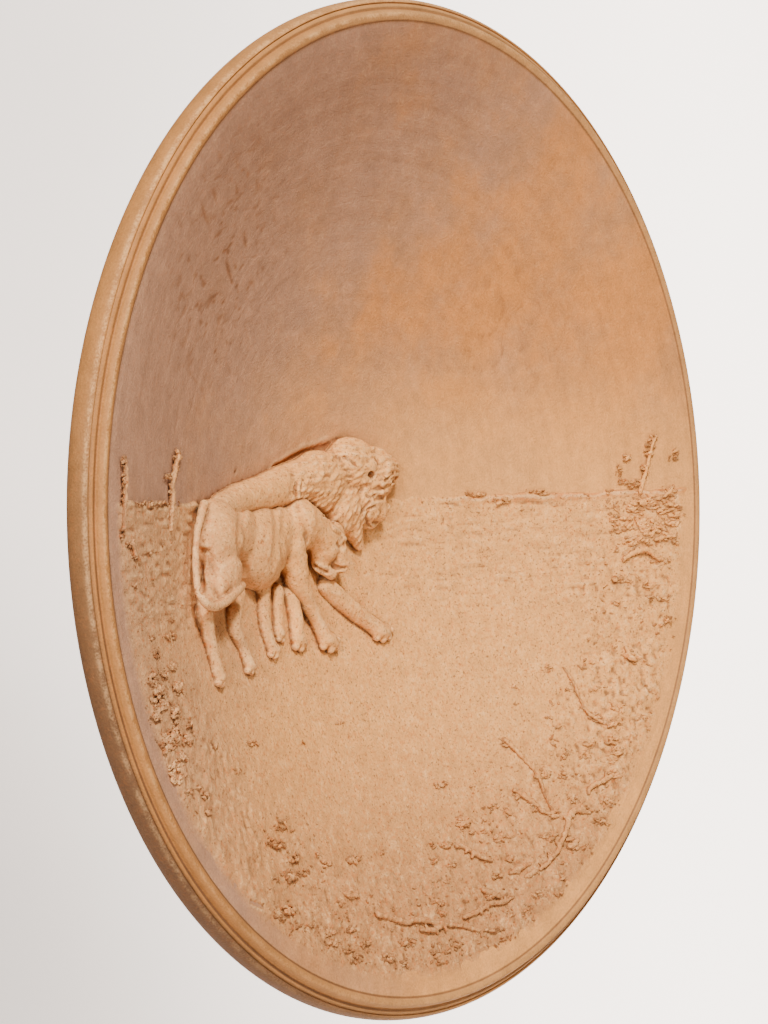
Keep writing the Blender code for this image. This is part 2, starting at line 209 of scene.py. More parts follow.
LION_STROKES = {
    "ear_hole": (1.8, -2.4, [(1103, 388), (1113, 395)]),
    "eye_socket": (2.0, -0.9, [(1128, 516), (1150, 512), (1172, 510)]),
    "brow": (1.6, 0.7, [(1126, 482), (1156, 482), (1186, 474)]),
    "mouth": (1.5, -0.8, [(1196, 606), (1175, 630), (1148, 644), (1118, 640)]),
    "chin_line": (1.2, -0.7, [(1104, 664), (1086, 646)]),
    "cheek_lock_one": (1.3, -0.9, [(1085, 500), (1110, 506), (1126, 500)]),
    "cheek_lock_two": (1.2, -0.9, [(1110, 520), (1078, 556), (1050, 586)]),
    "cheek_lock_three": (1.1, -0.7, [(1130, 556), (1104, 566), (1084, 574)]),
    "jaw_edge": (1.3, -0.9, [(1090, 590), (1078, 616), (1090, 640)]),
    "forelock_line": (1.2, -1.1, [(1213, 442), (1246, 402)]),
    "forelock_gap": (1.1, -0.8, [(1180, 420), (1206, 404), (1226, 380)]),
    "back_lock_one": (1.4, -0.7, [(965, 300), (1000, 318), (1040, 350)]),
    "back_lock_two": (1.6, -0.6, [(720, 440), (708, 480), (716, 510)]),
    "back_lock_three": (1.4, -0.5, [(750, 420), (738, 460), (742, 500)]),
    "shoulder_dip": (3.5, -0.9, [(690, 350), (705, 420), (690, 480)]),
}

# Outline of the mane, inside which its locks are laid
MANE_OUTLINE = [
    (-41, 7), (-43, 15), (-34, 21), (-22, 25), (-8, 29), (6, 29.5), (18, 26.5), (28, 22), (33, 17), (31, 12),
    (24, 14), (16, 12), (9, 7), (6, -2), (10, -8), (10, -17), (5, -16), (-2, -11.5), (-8, -6), (-13, -1),
    (-20, 1), (-27, 1), (-35, 2.5),
]

# The mane's locks: gaps along and between rows, length, radius, and lift as a share of the radius
LOCK_GAP = (4.4, 3.5)
LOCK_LENGTH = 8.0
LOCK_RADIUS = 1.5
LOCK_LIFT = -0.2

# Plants pressed on in small chips, clump by clump: place across, place up, half spread across and up,
# chip size and count
CLUMPS = {
    "right_sprouts": [
        (166, 12, 3, 2, 1.2, 7), (171, 18, 1.5, 3, 1.1, 6), (173, 28, 1.8, 4, 1.2, 9),
        (175, 33, 1.5, 1.5, 1, 4), (161, 24, 1.6, 1.6, 1.1, 4), (158, 18, 1.2, 3, 1, 5),
        (160, 13, 2, 1.5, 1.1, 5), (186, 25, 2.4, 2.5, 1.0, 7),
    ],
    "right_bush": [
        (165, 2, 5, 3, 1.6, 12), (172, 4, 6, 4, 1.6, 14), (180, 1, 6, 4, 1.6, 14),
        (186, -1, 4, 4, 1.4, 11), (184, 8, 3, 2, 1.3, 8), (168, -6, 6, 3.5, 1.8, 14),
        (175, -9, 5, 3, 1.8, 12), (158, -6, 5, 4, 1.4, 10), (155, 1, 4, 3, 1.2, 7),
        (184, -8, 4.5, 3, 1.5, 9), (182, -13, 4.5, 2, 1.4, 7), (163, -15, 4, 3, 1.3, 7),
        (169, -19, 6, 1.6, 1.4, 9), (177, -23, 3, 1.5, 1.4, 6), (171, -14, 4, 2.5, 1.2, 6),
        (182, -24, 2, 1.2, 1.1, 3), (157, -18, 3, 2, 1, 4), (187, -14, 2.6, 1.5, 1.2, 4),
    ],
    "below_right_bush": [
        (155, -32, 2.5, 1.3, 1.4, 6), (161, -33, 3, 1, 1, 4), (166, -31, 1.5, 1.5, 1.1, 3),
        (172, -35, 2.6, 1.5, 1.6, 7), (172, -41, 2, 1.2, 1.2, 4), (180, -41, 3.6, 1.2, 1.2, 6),
        (154, -42, 2, 1.2, 1.1, 3), (181, -51, 2.5, 1.2, 1.2, 5), (176, -53, 2.5, 1, 1, 3),
    ],
    "right_slope": [
        (158, -67, 3, 2.5, 1.5, 6), (163, -69, 3, 1.2, 1, 4), (147, -90, 4, 1.6, 1.6, 7),
        (143, -97, 4, 1.2, 1.3, 5), (134, -70, 4, 1.8, 1.2, 5), (136, -81, 4, 1, 1, 4),
        (113, -71, 3, 1.3, 1.2, 4), (121, -81, 1.6, 0.8, 1, 2), (114, -87, 2.5, 1, 1.1, 3),
        (93, -79, 3, 1.2, 1, 4), (94, -86, 1.2, 0.8, 1, 2), (160, -95, 2.5, 1.4, 1.2, 4),
        (155, -84, 5, 5, 0.9, 8), (109, -93, 2, 1, 1.1, 3), (113, -97, 2.5, 1.5, 1.2, 4),
        (109, -103, 1.6, 2.5, 1.2, 4), (134, -94, 3, 1.5, 1.3, 5), (126, -79, 1.5, 4, 1, 5),
    ],
    "lower_right": [
        (83, -103, 3, 1.5, 1.3, 5), (99, -117, 3, 1.8, 1.5, 7), (111, -110, 3, 1.3, 1.2, 4),
        (116, -108, 2, 1, 1.1, 3), (124, -110, 4, 1.4, 1.5, 6), (128, -106, 3, 2, 1.3, 5),
        (140, -104, 4, 2, 1.3, 5), (142, -109, 2.5, 1.5, 1.6, 6), (137, -113, 3, 1.5, 1.3, 5),
        (139, -119, 2.5, 1.5, 1.6, 6), (110, -118, 2.5, 1.5, 1.2, 4), (83, -125, 3, 1.5, 1.5, 6),
        (90, -131, 2.5, 1.5, 1.2, 5), (99, -134, 2.2, 1.5, 1.6, 5), (111, -129, 3, 1.2, 1.2, 4),
        (122, -134, 4, 1, 1.1, 4), (132, -131, 4, 2, 1.3, 5), (124, -139, 4, 1.3, 1.3, 5),
        (92, -144, 4, 1.4, 1.5, 6), (105, -148, 3, 2.2, 1.8, 8), (90, -151, 3, 1.2, 1.2, 4),
        (112, -150, 5, 1.2, 1, 4), (93, -161, 3, 1.2, 1.4, 4), (90, -168, 2, 1, 1.2, 3),
    ],
    "lower_middle": [
        (37, -118, 3, 1.2, 1.3, 4), (41, -118, 1.5, 1, 1.2, 3), (45, -134, 3.5, 2.5, 1.9, 9),
        (50, -139, 3, 1, 1.1, 3), (56, -139, 2, 1, 1.1, 3), (65, -129, 4, 1.2, 1, 4),
        (72, -132, 2, 2, 1.4, 4), (66, -142, 4, 1.6, 1.8, 8), (20, -148, 2, 1, 1.4, 4),
        (31, -143, 3, 1.2, 1.4, 5), (23, -142, 5, 3, 0.9, 6), (31, -151, 3, 1, 1.3, 4),
        (66, -151, 3, 1, 1.4, 4), (56, -157, 4, 1.2, 1.1, 4), (13, -165, 4, 1.2, 1.6, 6),
        (15, -169, 3, 1, 1.3, 4), (23, -157, 3, 1.5, 1.2, 4), (49, -165, 4, 1.4, 1.5, 6),
        (77, -167, 3.5, 1.2, 1.4, 5), (68, -172, 3, 2.5, 1.1, 5), (56, -173, 4, 1.5, 1.2, 5),
        (3, -182, 4, 1.5, 1.5, 6), (10, -184, 3, 1, 1.1, 3), (18, -182, 4, 1.2, 1.2, 5),
        (5, -188, 3, 1, 1.1, 3), (48, -179, 4, 1, 1, 4), (50, -183, 6, 1, 0.9, 5),
    ],
    "lower_left_arc": [
        (-14, -178, 7, 1.2, 1.3, 8), (-30, -182, 3.5, 1.5, 1.5, 7), (-43, -175, 3, 1.5, 1.5, 5),
        (-51, -180, 3, 1.6, 1.3, 6), (-20, -185, 3, 1.2, 1.2, 4), (-57, -176, 4, 1, 1, 4),
        (-68, -172, 3.5, 1.4, 1.5, 6), (-67, -168, 4, 1.2, 1.3, 5), (-50, -168.5, 4, 0.9, 1.2, 5),
        (-43, -156, 4.5, 1.3, 1.7, 7), (-51, -158, 2.5, 1, 1.1, 3), (-34, -143, 4, 1.5, 1.4, 7),
        (-54, -142, 3.5, 1.8, 1.4, 6), (-58, -138, 3, 1.2, 1, 3), (-12, -142, 2, 0.8, 0.9, 2),
    ],
    "lower_left_tufts": [
        (-80, -125, 6, 1.8, 1.3, 9), (-87, -132, 4, 1.5, 1.6, 8), (-77, -138, 4.5, 1.3, 1.6, 8),
        (-92, -130, 3, 1.2, 1.2, 4), (-84, -144, 4, 1.6, 1.9, 8), (-73, -144, 4, 1.2, 1.3, 5),
        (-95, -144, 3, 1, 1, 3), (-93, -156, 4.5, 1.5, 1.7, 8), (-100, -158, 2.5, 1.2, 1.2, 3),
        (-89, -162, 4, 1.2, 1, 4), (-79, -164, 5, 2, 0.9, 6),
    ],
    "left_side": [
        (-122, -91, 2.5, 0.9, 1.1, 3), (-87, -92.5, 4, 0.8, 1.1, 5), (-107, -102, 4, 0.9, 0.8, 4),
        (-138, -108, 3, 1.2, 1.3, 5), (-138, -114, 2.5, 1, 1.4, 4), (-143, -105, 3, 1, 1, 4),
        (-152, -106, 3, 1.2, 1.2, 4), (-17, -89, 3, 0.6, 0.8, 3), (-48, -95, 3, 0.9, 0.8, 3),
    ],
    "left_bush": [
        (-171, -63, 5, 2.5, 1.6, 11), (-167, -67, 4, 1.6, 1.8, 8), (-150, -67, 5, 1.6, 1.7, 9),
        (-160, -62, 4, 1.5, 1.2, 5), (-165, -73, 4.5, 1.8, 1.7, 9), (-171, -76, 3.5, 1.8, 1.5, 7),
        (-154, -76, 4, 1.8, 1.8, 8), (-162, -86, 6, 3, 2.1, 16), (-155, -81, 3.5, 1.5, 1.4, 6),
        (-146, -87, 3, 1.6, 2, 7), (-142, -81, 3, 1.2, 1.1, 4), (-155, -93, 4, 2, 1.6, 8),
        (-154, -99, 2.5, 1.2, 1.3, 4), (-151, -59, 3.5, 1.2, 1.4, 6), (-150, -48, 7, 1.6, 1.1, 9),
        (-148, -42, 3, 0.8, 1, 3), (-168, -48, 2, 0.9, 1, 3), (-168, -70, 6, 6, 1.2, 12),
    ],
    "left_saplings": [
        (-137, 20, 3.5, 2.5, 1.2, 9), (-138, 15, 2, 2.5, 1.1, 6), (-146, 12, 2.5, 0.9, 1.1, 4),
        (-142, 7, 1.5, 2.5, 1.1, 6), (-143, -2, 1.5, 4, 1, 7), (-189, 17, 2.4, 1.5, 1, 6),
        (-189, 10, 1.5, 2, 1, 5), (-189, 3, 1.6, 3, 1, 6), (-190, -8, 1.2, 3, 0.9, 5),
        (-184, -13, 3, 1, 1.1, 4), (-180, -17, 3, 1.2, 1.1, 5), (-166, -16, 2, 0.7, 0.9, 2),
        (-181, -28, 2.5, 1.5, 1, 4),
    ],
    "horizon": [
        (97, 4, 4, 1.5, 1.3, 8), (84, 7, 5, 0.8, 1, 7), (118, 7.5, 6, 1, 1, 8), (137, 6, 6, 1, 0.9, 6),
        (152, 8, 4, 0.9, 1.1, 5), (-160, 2, 26, 1, 0.9, 26),
    ],
    "pale_tuft": [(-160, -98, 5, 4, 1.3, 14)],
    "red_tuft": [(-166, -54, 3.5, 1.6, 1.4, 6)],
}
# How much darker (above zero) or paler a clump's chips are than the others
CLUMP_TONES = {"pale_tuft": -0.7, "red_tuft": 0.3, "lower_left_tufts": 0.1}
CHIP_LIMIT = 193.0

# Scattered crumbs of clay: place across, place up, half spread across and up, size and count
CRUMB_FIELDS = {
    "left_ground": (-160, -30, 30, 26, 0.45, 60),
    "left_middle": (-156, -84, 26, 34, 0.55, 90),
    "lower_left": (-80, -142, 34, 26, 0.55, 90),
    "lower_middle": (0, -172, 78, 16, 0.6, 170),
    "lower_right": (94, -138, 50, 34, 0.6, 170),
    "right_side": (162, -56, 26, 60, 0.6, 150),
    "horizon_right": (110, 3, 60, 6, 0.5, 60),
}

# Twigs laid on the ground: place across, place up, lift and radius along each
TWIGS = {
    "long_branch": [
        (119, -135, 1.4, 1.0), (111, -133.5, 1.6, 1.5), (106.5, -136, 1.6, 1.5),
        (103.5, -141, 1.5, 1.3), (99, -145.5, 1.4, 1.2), (95, -150, 1.4, 1.2), (89, -153.5, 1.3, 1.2),
        (82, -157, 1.2, 0.9),
    ],
    "upper_twig": [
        (121, -127, 1, 0.8), (123, -124, 1.2, 1.2), (130, -122, 1.3, 1.2), (137, -119.5, 1.2, 1.0),
    ],
    "short_twig": [
        (82, -101, 1, 1.0), (85, -104, 1.2, 1.2), (90, -110, 1.2, 1.1), (95, -116, 1.2, 1.2),
        (96, -120, 1, 0.9), (97, -128, 0.9, 0.7), (99, -134, 0.9, 0.7),
    ],
    "side_twig": [
        (80, -123, 1, 0.9), (85, -126, 1.2, 1.3), (90, -130, 1.1, 1.0), (94, -133.5, 1.1, 1.0),
        (99, -134, 1.1, 1.0),
    ],
    "middle_branch": [
        (36, -143.5, 1.1, 0.9), (40, -144, 1.2, 1.2), (44, -146, 1.3, 1.2), (49, -149, 1.3, 1.3),
        (55, -151, 1.1, 0.9),
    ],
    "dark_twig": [(64, -157, 1.2, 1.0), (69, -155.5, 1.5, 1.5), (77, -154, 1.2, 0.9)],
    "lower_dark_twig": [(72, -159.5, 1.2, 1.0), (76, -158, 1.5, 1.4), (80, -156.5, 1.2, 0.9)],
    "fallen_branch": [
        (-29, -165, 1.4, 1.3), (-22, -167, 1.5, 1.4), (-12, -170, 1.4, 1.3), (-2, -170, 1.4, 1.3),
        (8, -172.5, 1.4, 1.3), (16, -174, 1.3, 1.1), (25, -175.5, 1.3, 1.1), (32, -177.5, 1.3, 1.1),
        (38, -178.5, 1.1, 0.9), (45, -179.5, 1, 0.8),
    ],
    "fallen_side_branch": [(-3, -174, 1.2, 1.0), (4, -175, 1.3, 1.2), (12, -174, 1.1, 0.9)],
    "fallen_upper_branch": [
        (27, -172, 1.2, 1.0), (34, -171, 1.4, 1.3), (41, -169.5, 1.3, 1.1), (47, -168, 1.3, 1.1),
        (53, -168.5, 1.3, 1.1), (61, -167, 1, 0.8),
    ],
    "small_twig": [(44, -162.5, 1.3, 1.2), (49, -164.5, 1.4, 1.3), (53, -166, 1.1, 0.9)],
    "upright_twig": [
        (122, -71, 0.9, 0.7), (126, -78, 1.1, 0.9), (128, -86, 1, 0.8), (131, -92, 1.1, 0.9),
        (137, -96, 1.1, 0.9),
    ],
    "bush_twig": [
        (159, -23, 1.1, 0.9), (163, -20.5, 1.4, 1.3), (170, -18.5, 1.5, 1.3), (174, -20, 1.4, 1.2),
        (178, -23.5, 1.1, 0.9),
    ],
    "bush_side_twig": [(176, -14, 1.1, 0.9), (183, -12.5, 1.2, 1.0), (187, -12.5, 1.1, 0.9)],
    "bush_upper_twig": [(181, 6, 1.1, 0.9), (184, 8.5, 1.2, 1.1), (186, 11, 1, 0.8)],
    "right_sprout": [(168, 8, 1.6, 1.1), (171, 18, 1.5, 1.0), (174, 30, 1.3, 0.9), (176, 34, 1, 0.7)],
    "hook_twig": [(156, -63, 1.1, 0.8), (157.5, -67, 1.4, 1.2), (160, -69, 1.2, 1.0)],
    "near_sapling": [
        (-144, -8, 1, 1.0), (-143, -2, 1.2, 1.2), (-142, 5, 1.3, 1.3), (-142, 9, 1.2, 1.0),
        (-140, 15, 1.3, 1.2), (-137, 20, 1.2, 1.2),
    ],
    "edge_sapling": [(-189, -8, 1, 0.9), (-189, 0, 1.1, 1.0), (-188, 8, 1.1, 1.0), (-188, 17, 1, 0.9)],
    "left_twig": [(-182, -13, 1, 0.9), (-179, -17, 1.1, 1.0), (-176, -19.5, 1, 0.8)],
}

# Scratches pressed into the ground: places across and up
SCRATCHES = [
    [(-118, -150), (-110, -153)],
    [(-148, -126), (-143, -130), (-140, -134)],
    [(-124, -90), (-120, -92)],
]
SCRATCH_HALF_WIDTH = 1.5
SCRATCH_DEPTH = -0.9

# The modelled ground: its grid, its upper edge's level and bend, and that edge's level on the left
GROUND_GRID = 0.9
GROUND_EDGE_LEVEL = 5.2
GROUND_EDGE_RISE = 0.000145
GROUND_EDGE_LEFT = 2.8

# Dark speck holes, two in the sky and one in the left ground: place across, place up, radius and depth
SPECK_HOLES = [(-77.8, 14.7, 1.0, 1.4), (-129.4, -17.4, 0.8, 1.2), (-68.0, 150.0, 0.9, 1.2)]

# Hollow pressed into the clay above the lion's back: half width, depth and points across and up
BACK_UNDERCUT = (2.6, -1.5, [(-46, 16.4), (-37, 19.2), (-30, 21.6), (-23, 23.5), (-15, 25.2), (-7, 27)])

# Voxel sizes in which clay is fused: the figures without detail, with it, and the twigs
ROUGH_VOXEL = 0.9
FINE_VOXEL = 0.5
TWIG_VOXEL = 0.45

# Rays that feel how shut in a place is, which sets the painted shade in gaps: their tilts, how steeply
# they stand, where they start above the clay and how far they reach
GAP_RAYS = [(math.cos(turn * math.pi / 3), math.sin(turn * math.pi / 3)) for turn in range(6)] + [(0.0, 0.0)]
GAP_STEEPNESS = 0.62
GAP_START = 0.35
GAP_REACH = 9.0

# Coarse sheet over the hollow, which those rays meet behind the figures
SHEET_ACROSS = range(-150, 56, 5)
SHEET_UP = range(-90, 51, 5)
SHEET_LIFT = 0.5

# Painted shadow under the plants, counted in cells of one millimetre: half the field's width, how far
# below a plant it falls, how high a plant is counted, the count that is full and how dark that is
SOIL_HALF_CELLS = 210
SOIL_DROP = 0.8
SOIL_HEIGHT = 2.2
SOIL_FULL = 40.0
SOIL_DARK = 0.62

# Radii on the lip, in metres: its inner edge, its groove, and the crests of its bead and its roll
EDGE_LINE = 0.20005
GROOVE_LINE = 0.2055
BEAD_CREST = 0.2027
ROLL_CREST = 0.2088

# Lights: their places and sizes and the point that they aim at, in metres
MAIN_LIGHT_PLACE = (-1.35, -1.75, 2.02)
MAIN_LIGHT_SIZE = 0.45
FILL_LIGHT_PLACE = (-2.7, -1.33, 0.4)
FILL_LIGHT_SIZE = 0.7
LIGHT_AIM = (0.0, -0.07, -0.07)

# Floor and sweep, in metres from the bowl's wall face, along the camera's line of sight
FLOOR_LEVEL = -1.35
FLOOR_NEAR = -6.0
FLOOR_BEND_START = 2.8
FLOOR_BEND = 1.4
FLOOR_BEND_STEPS = 16
FLOOR_TOP = 4.0
FLOOR_HALF_WIDTH = 14.0


def hollow_level(across, up):
    """Height of the hollow's surface at this place, below the plane of the inner edge."""
    share = np.minimum(np.hypot(across, up) / EDGE_RADIUS, 1.0)
    return -BOWL_DEPTH * (1 - share**2) ** HOLLOW_POWER


def hollow_slope(radius):
    share = np.minimum(radius / EDGE_RADIUS, 0.999)
    return BOWL_DEPTH * 2 * HOLLOW_POWER * share * (1 - share**2) ** (HOLLOW_POWER - 1) / EDGE_RADIUS


def seat(across, up, lift=0.0):
    """The place on the hollow, and three directions: along it, up it and out of it."""
    radius = math.hypot(across, up)
    slope = float(hollow_slope(radius))
    lean = np.array([across, up, 0.0]) / radius * slope if radius else np.zeros(3)
    out = np.array([-lean[0], -lean[1], 1.0])
    out /= np.linalg.norm(out)
    along = np.array([1.0, 0.0, lean[0]])
    along /= np.linalg.norm(along)
    place = np.array([across, up, float(hollow_level(across, up)) + lift])
    return place, np.stack([along, np.cross(out, along), out])


def swung(first, second, turn):
    """Two directions, swung from the first towards the second."""
    cosine, sine = math.cos(turn), math.sin(turn)
    return first * cosine + second * sine, second * cosine - first * sine


def smooth_step(value, start, end):
    share = np.clip((value - start) / (end - start), 0.0, 1.0)
    return share * share * (3 - 2 * share)


class Grain:
    """Smooth random heights over the plane, the same for the same seed."""

    def __init__(self, seed, size=256):
        self.size = size
        self.heights = np.random.RandomState(seed).rand(size, size) * 2 - 1

    def at(self, across, up):
        x0 = np.floor(across)
        y0 = np.floor(up)
        fx = across - x0
        fy = up - y0
        fx = fx * fx * (3 - 2 * fx)
        fy = fy * fy * (3 - 2 * fy)
        x0 = x0.astype(int) % self.size
        y0 = y0.astype(int) % self.size
        x1 = (x0 + 1) % self.size
        y1 = (y0 + 1) % self.size
        low = self.heights[x0, y0] * (1 - fx) + self.heights[x1, y0] * fx
        high = self.heights[x0, y1] * (1 - fx) + self.heights[x1, y1] * fx
        return low * (1 - fy) + high * fy

    def rough(self, across, up, gap, layers=3):
        """Several layers of grain, each half the size and half the height of the one before."""
        total = np.zeros_like(across, dtype=float)
        weight = 1.0
        for layer in range(layers):
            total += weight * self.at(across / gap + 17.3 * layer, up / gap + 9.1 * layer)
            gap /= 2
            weight /= 2
        return total


def ball_mesh(level):
    bm = bmesh.new()
    bmesh.ops.create_icosphere(bm, subdivisions=level, radius=1.0)
    points = np.array([vert.co[:] for vert in bm.verts])
    faces = np.array([[vert.index for vert in face.verts] for face in bm.faces])
    bm.free()
    return points, faces


BALLS = {level: ball_mesh(level) for level in (1, 2, 3, 4)}


def between(joints, index, share):
    """A point on the smooth curve through the joints, by the Catmull-Rom formula."""
    last = len(joints) - 1
    numbers = [max(0, min(last, index + step)) for step in (-1, 0, 1, 2)]
    before, start, end, after = (np.array(joints[number], float) for number in numbers)
    slope_in = (end - before) / 2
    slope_out = (after - start) / 2
    bend = 3 * (end - start) - 2 * slope_in - slope_out
    rest = slope_in + slope_out - 2 * (end - start)
    return start + slope_in * share + bend * share**2 + rest * share**3


def smooth_path(joints, steps):
    spans = range(len(joints) - 1)
    path = [between(joints, index, step / steps) for index in spans for step in range(steps)]
    return np.array(path + [np.array(joints[-1], float)])


class Lump:
    """Clay put together from many rounds, before it is fused into one skin."""

    def __init__(self):
        self.points = []
        self.faces = []
        self.count = 0

    def add(self, points, faces):
        self.points.append(points)
        self.faces.append(faces + self.count)
        self.count += len(points)

    def ball(self, centre, radius, level=2):
        points, faces = BALLS[level]
        self.add(points * radius + centre, faces)

    def egg(self, centre, directions, halves, level=4):
        points, faces = BALLS[level]
        self.add((points * halves) @ directions + centre, faces)

    def mass(self, across, up, lift, along, tall, deep, tilt):
        centre, directions = seat(across, up, lift)
        first, second = swung(directions[0], directions[1], math.radians(tilt))
        self.egg(centre, np.stack([first, second, directions[2]]), (along, tall, deep))

    def limb(self, joints):
        """A tapering limb of balls along the curve through its joints, seated on the hollow."""
        for index in range(len(joints) - 1):
            span = math.dist(joints[index][:3], joints[index + 1][:3])
            thin = min(joints[index][3], joints[index + 1][3])
            steps = max(2, math.ceil(3 * span / thin))
            for step in range(steps + (index == len(joints) - 2)):
                across, up, lift, radius = between(joints, index, step / steps)
                self.ball(seat(across, up, lift)[0], radius)

    def roll(self, path, radii, level=1):
        """A roll of clay through places in space."""
        for place, radius in zip(path, radii):
            self.ball(place, radius, level)

    def whole(self):
        return np.concatenate(self.points), np.concatenate(self.faces)


def new_mesh(name, points, faces):
    mesh = bpy.data.meshes.new(name)
    mesh.vertices.add(len(points))
    mesh.vertices.foreach_set("co", np.ascontiguousarray(points, np.float32).ravel())
    corners = np.ascontiguousarray(faces, np.int32).ravel()
    mesh.loops.add(len(corners))
    mesh.loops.foreach_set("vertex_index", corners)
    mesh.polygons.add(len(faces))
    mesh.polygons.foreach_set("loop_start", np.arange(0, len(corners), faces.shape[1], dtype=np.int32))
    mesh.update(calc_edges=True)
    mesh.validate()
    return mesh


def link_object(name, data):
    """A new object in the scene."""
    obj = bpy.data.objects.new(name, data)
    bpy.context.scene.collection.objects.link(obj)
    return obj


def read_points(mesh):
    points = np.empty(len(mesh.vertices) * 3, np.float32)
    mesh.vertices.foreach_get("co", points)
    return points.reshape(-1, 3)


def placed_points(mesh):
    """A finished piece's points, back in millimetres and in the bowl's own directions."""
    placed = read_points(mesh) / MM
    return np.stack([placed[:, 0], placed[:, 2] + FOOT_MIDDLE, -placed[:, 1] - BACK_PLANE], axis=1)


def evaluated(obj):
    """The points and triangles of an object with its modifiers applied."""
    graph = bpy.context.evaluated_depsgraph_get()
    made = obj.evaluated_get(graph)
    mesh = made.to_mesh()
    mesh.calc_loop_triangles()
    points = read_points(mesh)
    faces = np.empty(len(mesh.loop_triangles) * 3, np.int32)
    mesh.loop_triangles.foreach_get("vertices", faces)
    made.to_mesh_clear()
    return points.astype(float), faces.reshape(-1, 3)


def worked(points, faces, modifiers, others=()):
    """Runs modifiers over a mesh, each given as a type and its settings, and returns the result."""
    obj = link_object("clay", new_mesh("clay", points, faces))
    for kind, settings in modifiers:
        modifier = obj.modifiers.new(kind, kind)
        for key, value in settings.items():
            setattr(modifier, key, value)
    bpy.context.view_layer.update()
    result = evaluated(obj)
    for old in (obj, *others):
        mesh = old.data
        bpy.data.objects.remove(old, do_unlink=True)
        bpy.data.meshes.remove(mesh)
    return result


def fused(lump, voxel, rounds):
    points, faces = lump.whole()
    return worked(
        points,
        faces,
        [
            ("REMESH", {"mode": "VOXEL", "voxel_size": voxel}),
            ("SMOOTH", {"iterations": rounds, "factor": 0.5}),
        ],
    )


def normals_of(points, faces):
    corners = points[faces]
    across = np.cross(corners[:, 1] - corners[:, 0], corners[:, 2] - corners[:, 0])
    normals = np.zeros_like(points)
    for corner in range(3):
        for axis in range(3):
            normals[:, axis] += np.bincount(faces[:, corner], across[:, axis], len(points))
    return normals / np.maximum(np.linalg.norm(normals, axis=1, keepdims=True), 1e-12)


def neighbours_mean(values, ends, counts):
    """For each point, the mean of its neighbours' values."""
    result = np.empty_like(values)
    for axis in range(values.shape[1]):
        total = np.bincount(ends[:, 0], values[ends[:, 1], axis], len(values))
        total += np.bincount(ends[:, 1], values[ends[:, 0], axis], len(values))
        result[:, axis] = total / counts
    return result


def crease_tone(points, faces, rounds, full):
    """0.5 on even clay, up to 1 in creases and down to 0 on ridges: full is the depth that reaches 1."""
    ends = np.concatenate([faces[:, [0, 1]], faces[:, [1, 2]], faces[:, [2, 0]]])
    ends = np.unique(np.sort(ends, axis=1), axis=0)
    counts = np.maximum(np.bincount(ends.ravel(), minlength=len(points)), 1)
    smooth = points
    for _ in range(rounds):
        smooth = (smooth + neighbours_mean(smooth, ends, counts)) / 2
    rise = np.einsum("ij,ij->i", smooth - points, normals_of(points, faces))
    return np.clip(0.5 + 0.5 * rise / full, 0.0, 1.0)


def closed_in(points, normals, tree, near):
    """How shut in each chosen point is by clay close to it, from 0 in the open to 1 deep in a gap: the
    finish paints shade by it.
    """
    shut = np.zeros(len(points))
    for index in np.flatnonzero(near):
        normal = normals[index]
        helper = np.array([0.0, 1.0, 0.0]) if abs(normal[1]) < 0.8 else np.array([1.0, 0.0, 0.0])
        side = np.cross(normal, helper)
        side /= np.linalg.norm(side) + 1e-9
        other = np.cross(normal, side)
        start = points[index] + normal * GAP_START
        found = 0.0
        for tilt_across, tilt_up in GAP_RAYS:
            ray = normal * GAP_STEEPNESS + side * tilt_across + other * tilt_up
            hit = tree.ray_cast(start, ray, GAP_REACH)[3]
            if hit is not None:
                found += 1 - hit / GAP_REACH
        shut[index] = found / len(GAP_RAYS)
    return shut


def press(points, normals, path, half_width, depth):
    """Moves the points near a path in or out along their normals, most on the path itself."""
    low = path.min(0) - half_width
    high = path.max(0) + half_width
    near = np.flatnonzero(((points > low) & (points < high)).all(1))
    if not len(near):
        return
    chosen = points[near]
    distance = np.full(len(near), np.inf)
    for start, end in zip(path[:-1], path[1:]):
        run = end - start
        share = np.clip((chosen - start) @ run / max(run @ run, 1e-9), 0.0, 1.0)
        gap = np.linalg.norm(chosen - start - share[:, None] * run, axis=1)
        distance = np.minimum(distance, gap)
    weight = np.clip(1 - (distance / half_width) ** 2, 0.0, 1.0) ** 2
    points[near] += normals[near] * (depth * weight)[:, None]


def hollow_sheet():
    """A coarse sheet just over the hollow, behind the figures."""
    points = [(x, y, float(hollow_level(x, y)) + SHEET_LIFT) for y in SHEET_UP for x in SHEET_ACROSS]
    wide = len(SHEET_ACROSS)
    starts = [row * wide + column for row in range(len(SHEET_UP) - 1) for column in range(wide - 1)]
    faces = [(start, start + 1, start + wide + 1) for start in starts]
    faces += [(start, start + wide + 1, start + wide) for start in starts]
    return np.array(points), np.array(faces)


class Aim:
    """Finds places on a skin from the camera or from straight in front."""

    def __init__(self, points, faces):
        self.tree = BVHTree.FromPolygons(points.tolist(), faces.tolist())

    def from_eye(self, drawn):
        """The place where the camera sees this point of the enlargement, or None."""
        x = DRAWING_CORNER[0] + drawn[0] / DRAWING_SCALE - PICTURE_MIDDLE[0]
        y = DRAWING_CORNER[1] + drawn[1] / DRAWING_SCALE - PICTURE_MIDDLE[1]
        ray = EYE_RIGHT * x - EYE_UP * y - EYE_BACK * FOCAL_PIXELS
        hit = self.tree.ray_cast(Vector(EYE), Vector(ray).normalized())[0]
        return None if hit is None else np.array(hit)

    def from_front(self, across, up):
        hit = self.tree.ray_cast(Vector((across, up, 100.0)), Vector((0, 0, -1)))
        return None if hit[0] is None else (np.array(hit[0]), np.array(hit[1]))

    def path(self, drawn, steps=4):
        found = [self.from_eye(point) for point in smooth_path(drawn, steps)]
        found = [place for place in found if place is not None]
        return np.array(found) if len(found) > 1 else None


